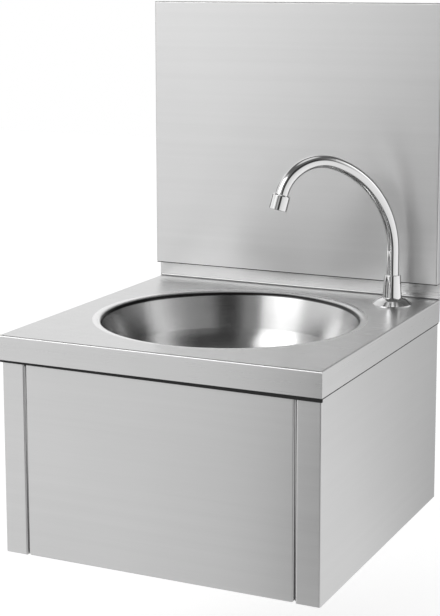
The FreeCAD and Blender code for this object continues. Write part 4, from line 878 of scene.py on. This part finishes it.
def carve(name, node, cutters):
    """A copy of a CAD piece with blocks cut out of it; the copy stands for the piece."""
    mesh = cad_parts[node].data.copy()
    joined = bmesh.new()
    joined.from_mesh(mesh)
    bmesh.ops.remove_doubles(joined, verts=joined.verts, dist=1e-6)
    joined.to_mesh(mesh)
    joined.free()
    blank = put_in_scene(name + "_blank", mesh)
    tools = [put_in_scene(cutter.name, cutter) for cutter in cutters]
    for tool in tools:
        carving = blank.modifiers.new(tool.name, "BOOLEAN")
        carving.operation = "DIFFERENCE"
        carving.object = tool
    piece = put_in_scene(name, carried_out(blank))
    for tool in tools:
        bpy.data.objects.remove(tool)
    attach(piece, "casing")
    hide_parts(node)
    return piece


screw_low, screw_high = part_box("strainer_screw")
screw_top = Vector(((screw_low.x + screw_high.x) / 2, (screw_low.y + screw_high.y) / 2,
                    screw_high.z))
slots = []
for label, length, width in (("long", SLOT_LENGTH, SLOT_WIDTH),
                             ("cross", SLOT_WIDTH, SLOT_LENGTH)):
    half = Vector((length / 2, width / 2, SLOT_DEPTH))
    slots.append(box_mesh(f"screw_slot_{label}", screw_top - half, screw_top + half))
screw = carve("strainer_screw_slotted", "strainer_screw", slots)
screw.data.materials.clear()
screw.data.materials.append(polished_steel)

tail_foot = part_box("waste_body")[0].z + WASTE_CHAMFER
thread("waste_tail_thread", Vector((bowl_centre.x, bowl_centre.y, tail_foot)), UPRIGHT,
       WASTE_RADIUS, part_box("waste_back_nut")[1].z - tail_foot, WASTE_PITCH,
       "casing", polished_steel)


# ---------------------------------------------------------------- trap
# Bottle trap of glossy white plastic under the waste. Ribbed nuts hold its neck and its
# outlet, the ribbed cup screws off for cleaning, and a plain pipe runs into the wall.

TRAP_RIB = 0.0011
TRAP_RIB_SHARE = 0.55

dress(trap_plastic, "trap_body", "trap_inlet_nut", "trap_cup", "trap_outlet_nut",
      "waste_pipe", "wall_cover")

for node, ribs, way in (("trap_inlet_nut", 28, UPRIGHT), ("trap_cup", 40, UPRIGHT),
                        ("trap_outlet_nut", 24, TO_THE_WALL)):
    low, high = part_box(node)
    depth = high.z - low.z if way is UPRIGHT else high.y - low.y
    grow(f"{node}_ribs", grip_ribs,
         {"Ribs": ribs, "Radius": (high.x - low.x) / 2, "Rib": TRAP_RIB,
          "Height": depth * TRAP_RIB_SHARE},
         Matrix.Translation((low + high) / 2) @ way, "casing", trap_plastic)


# ---------------------------------------------------------------- studio
# A pale floor and a white backdrop all round, with one broad lamp high in front on the left.
# What the steel mirrors is a room with light and dark walls, a dim ceiling and a skylight.

# Each pair is a bearing and how light the room is there. The bearing is a share of a full
# turn, from straight ahead of the sink's front round by its left side.
LOW_WALLS = (
    (0.000, 0.42), (0.036, 0.18), (0.050, 0.20), (0.058, 0.60), (0.063, 0.72), (0.070, 0.80),
    (0.080, 0.82), (0.094, 0.86), (0.120, 0.95), (0.280, 1.05), (0.295, 0.05), (0.335, 0.05),
    (0.350, 1.15), (0.411, 1.22), (0.443, 1.18), (0.500, 0.50), (0.546, 0.48), (0.556, 0.78),
    (0.565, 0.98), (0.600, 1.08), (0.750, 0.95), (0.880, 0.80), (0.905, 0.04), (0.955, 0.04),
    (0.975, 0.55), (1.000, 0.42),
)
HIGH_WALLS = (
    (0.000, 0.20), (0.014, 0.16), (0.032, 0.70), (0.048, 1.15), (0.062, 1.55), (0.078, 1.75),
    (0.115, 1.90), (0.160, 0.80), (0.250, 0.90), (0.350, 1.05), (0.400, 1.15), (0.445, 1.20),
    (0.500, 0.35), (0.550, 0.32), (0.580, 1.20), (0.648, 1.55), (0.710, 1.00), (0.770, 0.20),
    (0.820, 0.04), (0.940, 0.04), (0.970, 0.20), (1.000, 0.20),
)
ROOM_STRENGTH = 1.9
CEILING = 0.07
SKYLIGHT = 0.42

# Where one part of the room gives way to the next, as the upward share of the direction.
LOW_TO_HIGH = (0.15, 0.38)
HIGH_TO_CEILING = (0.57, 0.80)
CEILING_TO_SKYLIGHT = (0.91, 0.99)

PLAIN_LIGHT = (0.84, 0.84, 0.84, 1)
WHITE = (1, 1, 1, 1)
LAMP_PLACE = Vector((-1.2, -2.4, 1.6))
LAMP_AIM = Vector((0, -0.2, 0.05))
LAMP_SIZE = (2.2, 1.4)
LAMP_WATTS = 15
FLOOR_HEIGHT = -0.45
FLOOR_HALF = 6.0
FLOOR_COLOUR = (0.85, 0.85, 0.85, 1)
FLOOR_WHITENING = 0.32
FLOOR_MIDDLE = (0.1, -0.4, 0.0)
FLOOR_SWEEP = (0.3, 1.2)
FLOOR_NEAR_LEVEL = 0.80


def room_walls(name, levels):
    """How light the room is on each bearing, the room's strength taken as one."""
    group, taken, given = new_group(name, [("Way", "Vector")], [("Level", "Color")])
    split = add(group, "ShaderNodeSeparateXYZ", {0: taken["Way"]})
    bearing = reckon(group, "ARCTAN2", split.outputs["X"], split.outputs["Y"])
    share = reckon(group, "MULTIPLY_ADD", bearing, 1 / (2 * math.pi), 0.5)
    ramp = add(group, "ShaderNodeValToRGB", {0: share})
    marks = ramp.color_ramp.elements
    while len(marks) < len(levels):
        marks.new(0.5)
    for mark, (place, level) in zip(marks, levels):
        mark.position = place
        mark.color = (*(level / ROOM_STRENGTH,) * 3, 1)
    group.links.new(ramp.outputs[0], given["Level"])
    return group


def seen_straight(tree, ray):
    """One for what the camera sees, bare or through glass, and nought for all else."""
    return reckon(tree, "ADD", ray.outputs["Is Camera Ray"], ray.outputs["Is Transmission Ray"])


low_walls = room_walls("low_walls", LOW_WALLS)
high_walls = room_walls("high_walls", HIGH_WALLS)

room = bpy.data.worlds.new("studio")
room.use_nodes = True
bpy.context.scene.world = room
tree = room.node_tree
tree.nodes.clear()
way = add(tree, "ShaderNodeTexCoord").outputs["Generated"]
low = add(tree, "ShaderNodeGroup", {"Way": way}, node_tree=low_walls)
high = add(tree, "ShaderNodeGroup", {"Way": way}, node_tree=high_walls)
rise = add(tree, "ShaderNodeSeparateXYZ", {0: way}).outputs["Z"]
seen = low.outputs["Level"]
for edges, part in ((LOW_TO_HIGH, high.outputs["Level"]), (HIGH_TO_CEILING, CEILING),
                    (CEILING_TO_SKYLIGHT, SKYLIGHT)):
    seen = blend(tree, mask(tree, rise, *edges, easing="SMOOTHSTEP"), seen, part)
ray = add(tree, "ShaderNodeLightPath")
plain_light = add(tree, "ShaderNodeBackground", {"Color": PLAIN_LIGHT})
mirrored = add(tree, "ShaderNodeBackground", {"Color": seen, "Strength": ROOM_STRENGTH})
backdrop = add(tree, "ShaderNodeBackground", {"Color": WHITE})
lit = add(tree, "ShaderNodeMixShader",
          {0: ray.outputs["Is Glossy Ray"], 1: plain_light.outputs[0], 2: mirrored.outputs[0]})
shown = add(tree, "ShaderNodeMixShader",
            {0: seen_straight(tree, ray), 1: lit.outputs[0], 2: backdrop.outputs[0]})
add(tree, "ShaderNodeOutputWorld", {0: shown.outputs[0]})

softbox = bpy.data.lights.new("softbox", "AREA")
softbox.shape = "RECTANGLE"
softbox.size, softbox.size_y = LAMP_SIZE
softbox.energy = LAMP_WATTS
lamp = put_in_scene("softbox", softbox)
lamp.matrix_world = (
    Matrix.Translation(LAMP_PLACE)
    @ (LAMP_AIM - LAMP_PLACE).to_track_quat("-Z", "Y").to_matrix().to_4x4()
)

# The floor is white to the camera and keeps the sink's shadow. The steel mirrors it as pale
# under the sink, and further off as light or dark as the low walls.
floor_mesh = bpy.data.meshes.new("floor")
corners = [(x * FLOOR_HALF, y * FLOOR_HALF, FLOOR_HEIGHT)
           for x, y in ((-1, -1), (1, -1), (1, 1), (-1, 1))]
floor_mesh.from_pydata(corners, [], [(0, 1, 2, 3)])
floor = put_in_scene("floor", floor_mesh)
pale, tree, shader = new_finish("pale_floor")
shader.inputs["Base Color"].default_value = FLOOR_COLOUR
shader.inputs["Roughness"].default_value = 0.9
shader.inputs["Emission Color"].default_value = WHITE
ray = add(tree, "ShaderNodeLightPath")
tree.links.new(reckon(tree, "MULTIPLY", seen_straight(tree, ray), FLOOR_WHITENING),
               shader.inputs["Emission Strength"])
point = add(tree, "ShaderNodeTexCoord")
from_middle = add(tree, "ShaderNodeVectorMath",
                  {0: point.outputs["Object"], 1: FLOOR_MIDDLE}, operation="SUBTRACT")
around = add(tree, "ShaderNodeGroup", {"Way": from_middle.outputs[0]}, node_tree=low_walls)
away = add(tree, "ShaderNodeVectorMath", {0: from_middle.outputs[0]}, operation="LENGTH")
reach = mask(tree, away.outputs["Value"], *FLOOR_SWEEP, easing="SMOOTHSTEP")
swept_tone = blend(tree, reach, FLOOR_NEAR_LEVEL / ROOM_STRENGTH, around.outputs["Level"])
swept = add(tree, "ShaderNodeEmission", {"Color": swept_tone, "Strength": ROOM_STRENGTH})
shown = add(tree, "ShaderNodeMixShader",
            {0: ray.outputs["Is Glossy Ray"], 1: shader.outputs[0], 2: swept.outputs[0]})
tree.links.new(shown.outputs[0], tree.nodes["Material Output"].inputs["Surface"])
floor_mesh.materials.append(pale)

bpy.context.scene.view_settings.view_transform = "Standard"
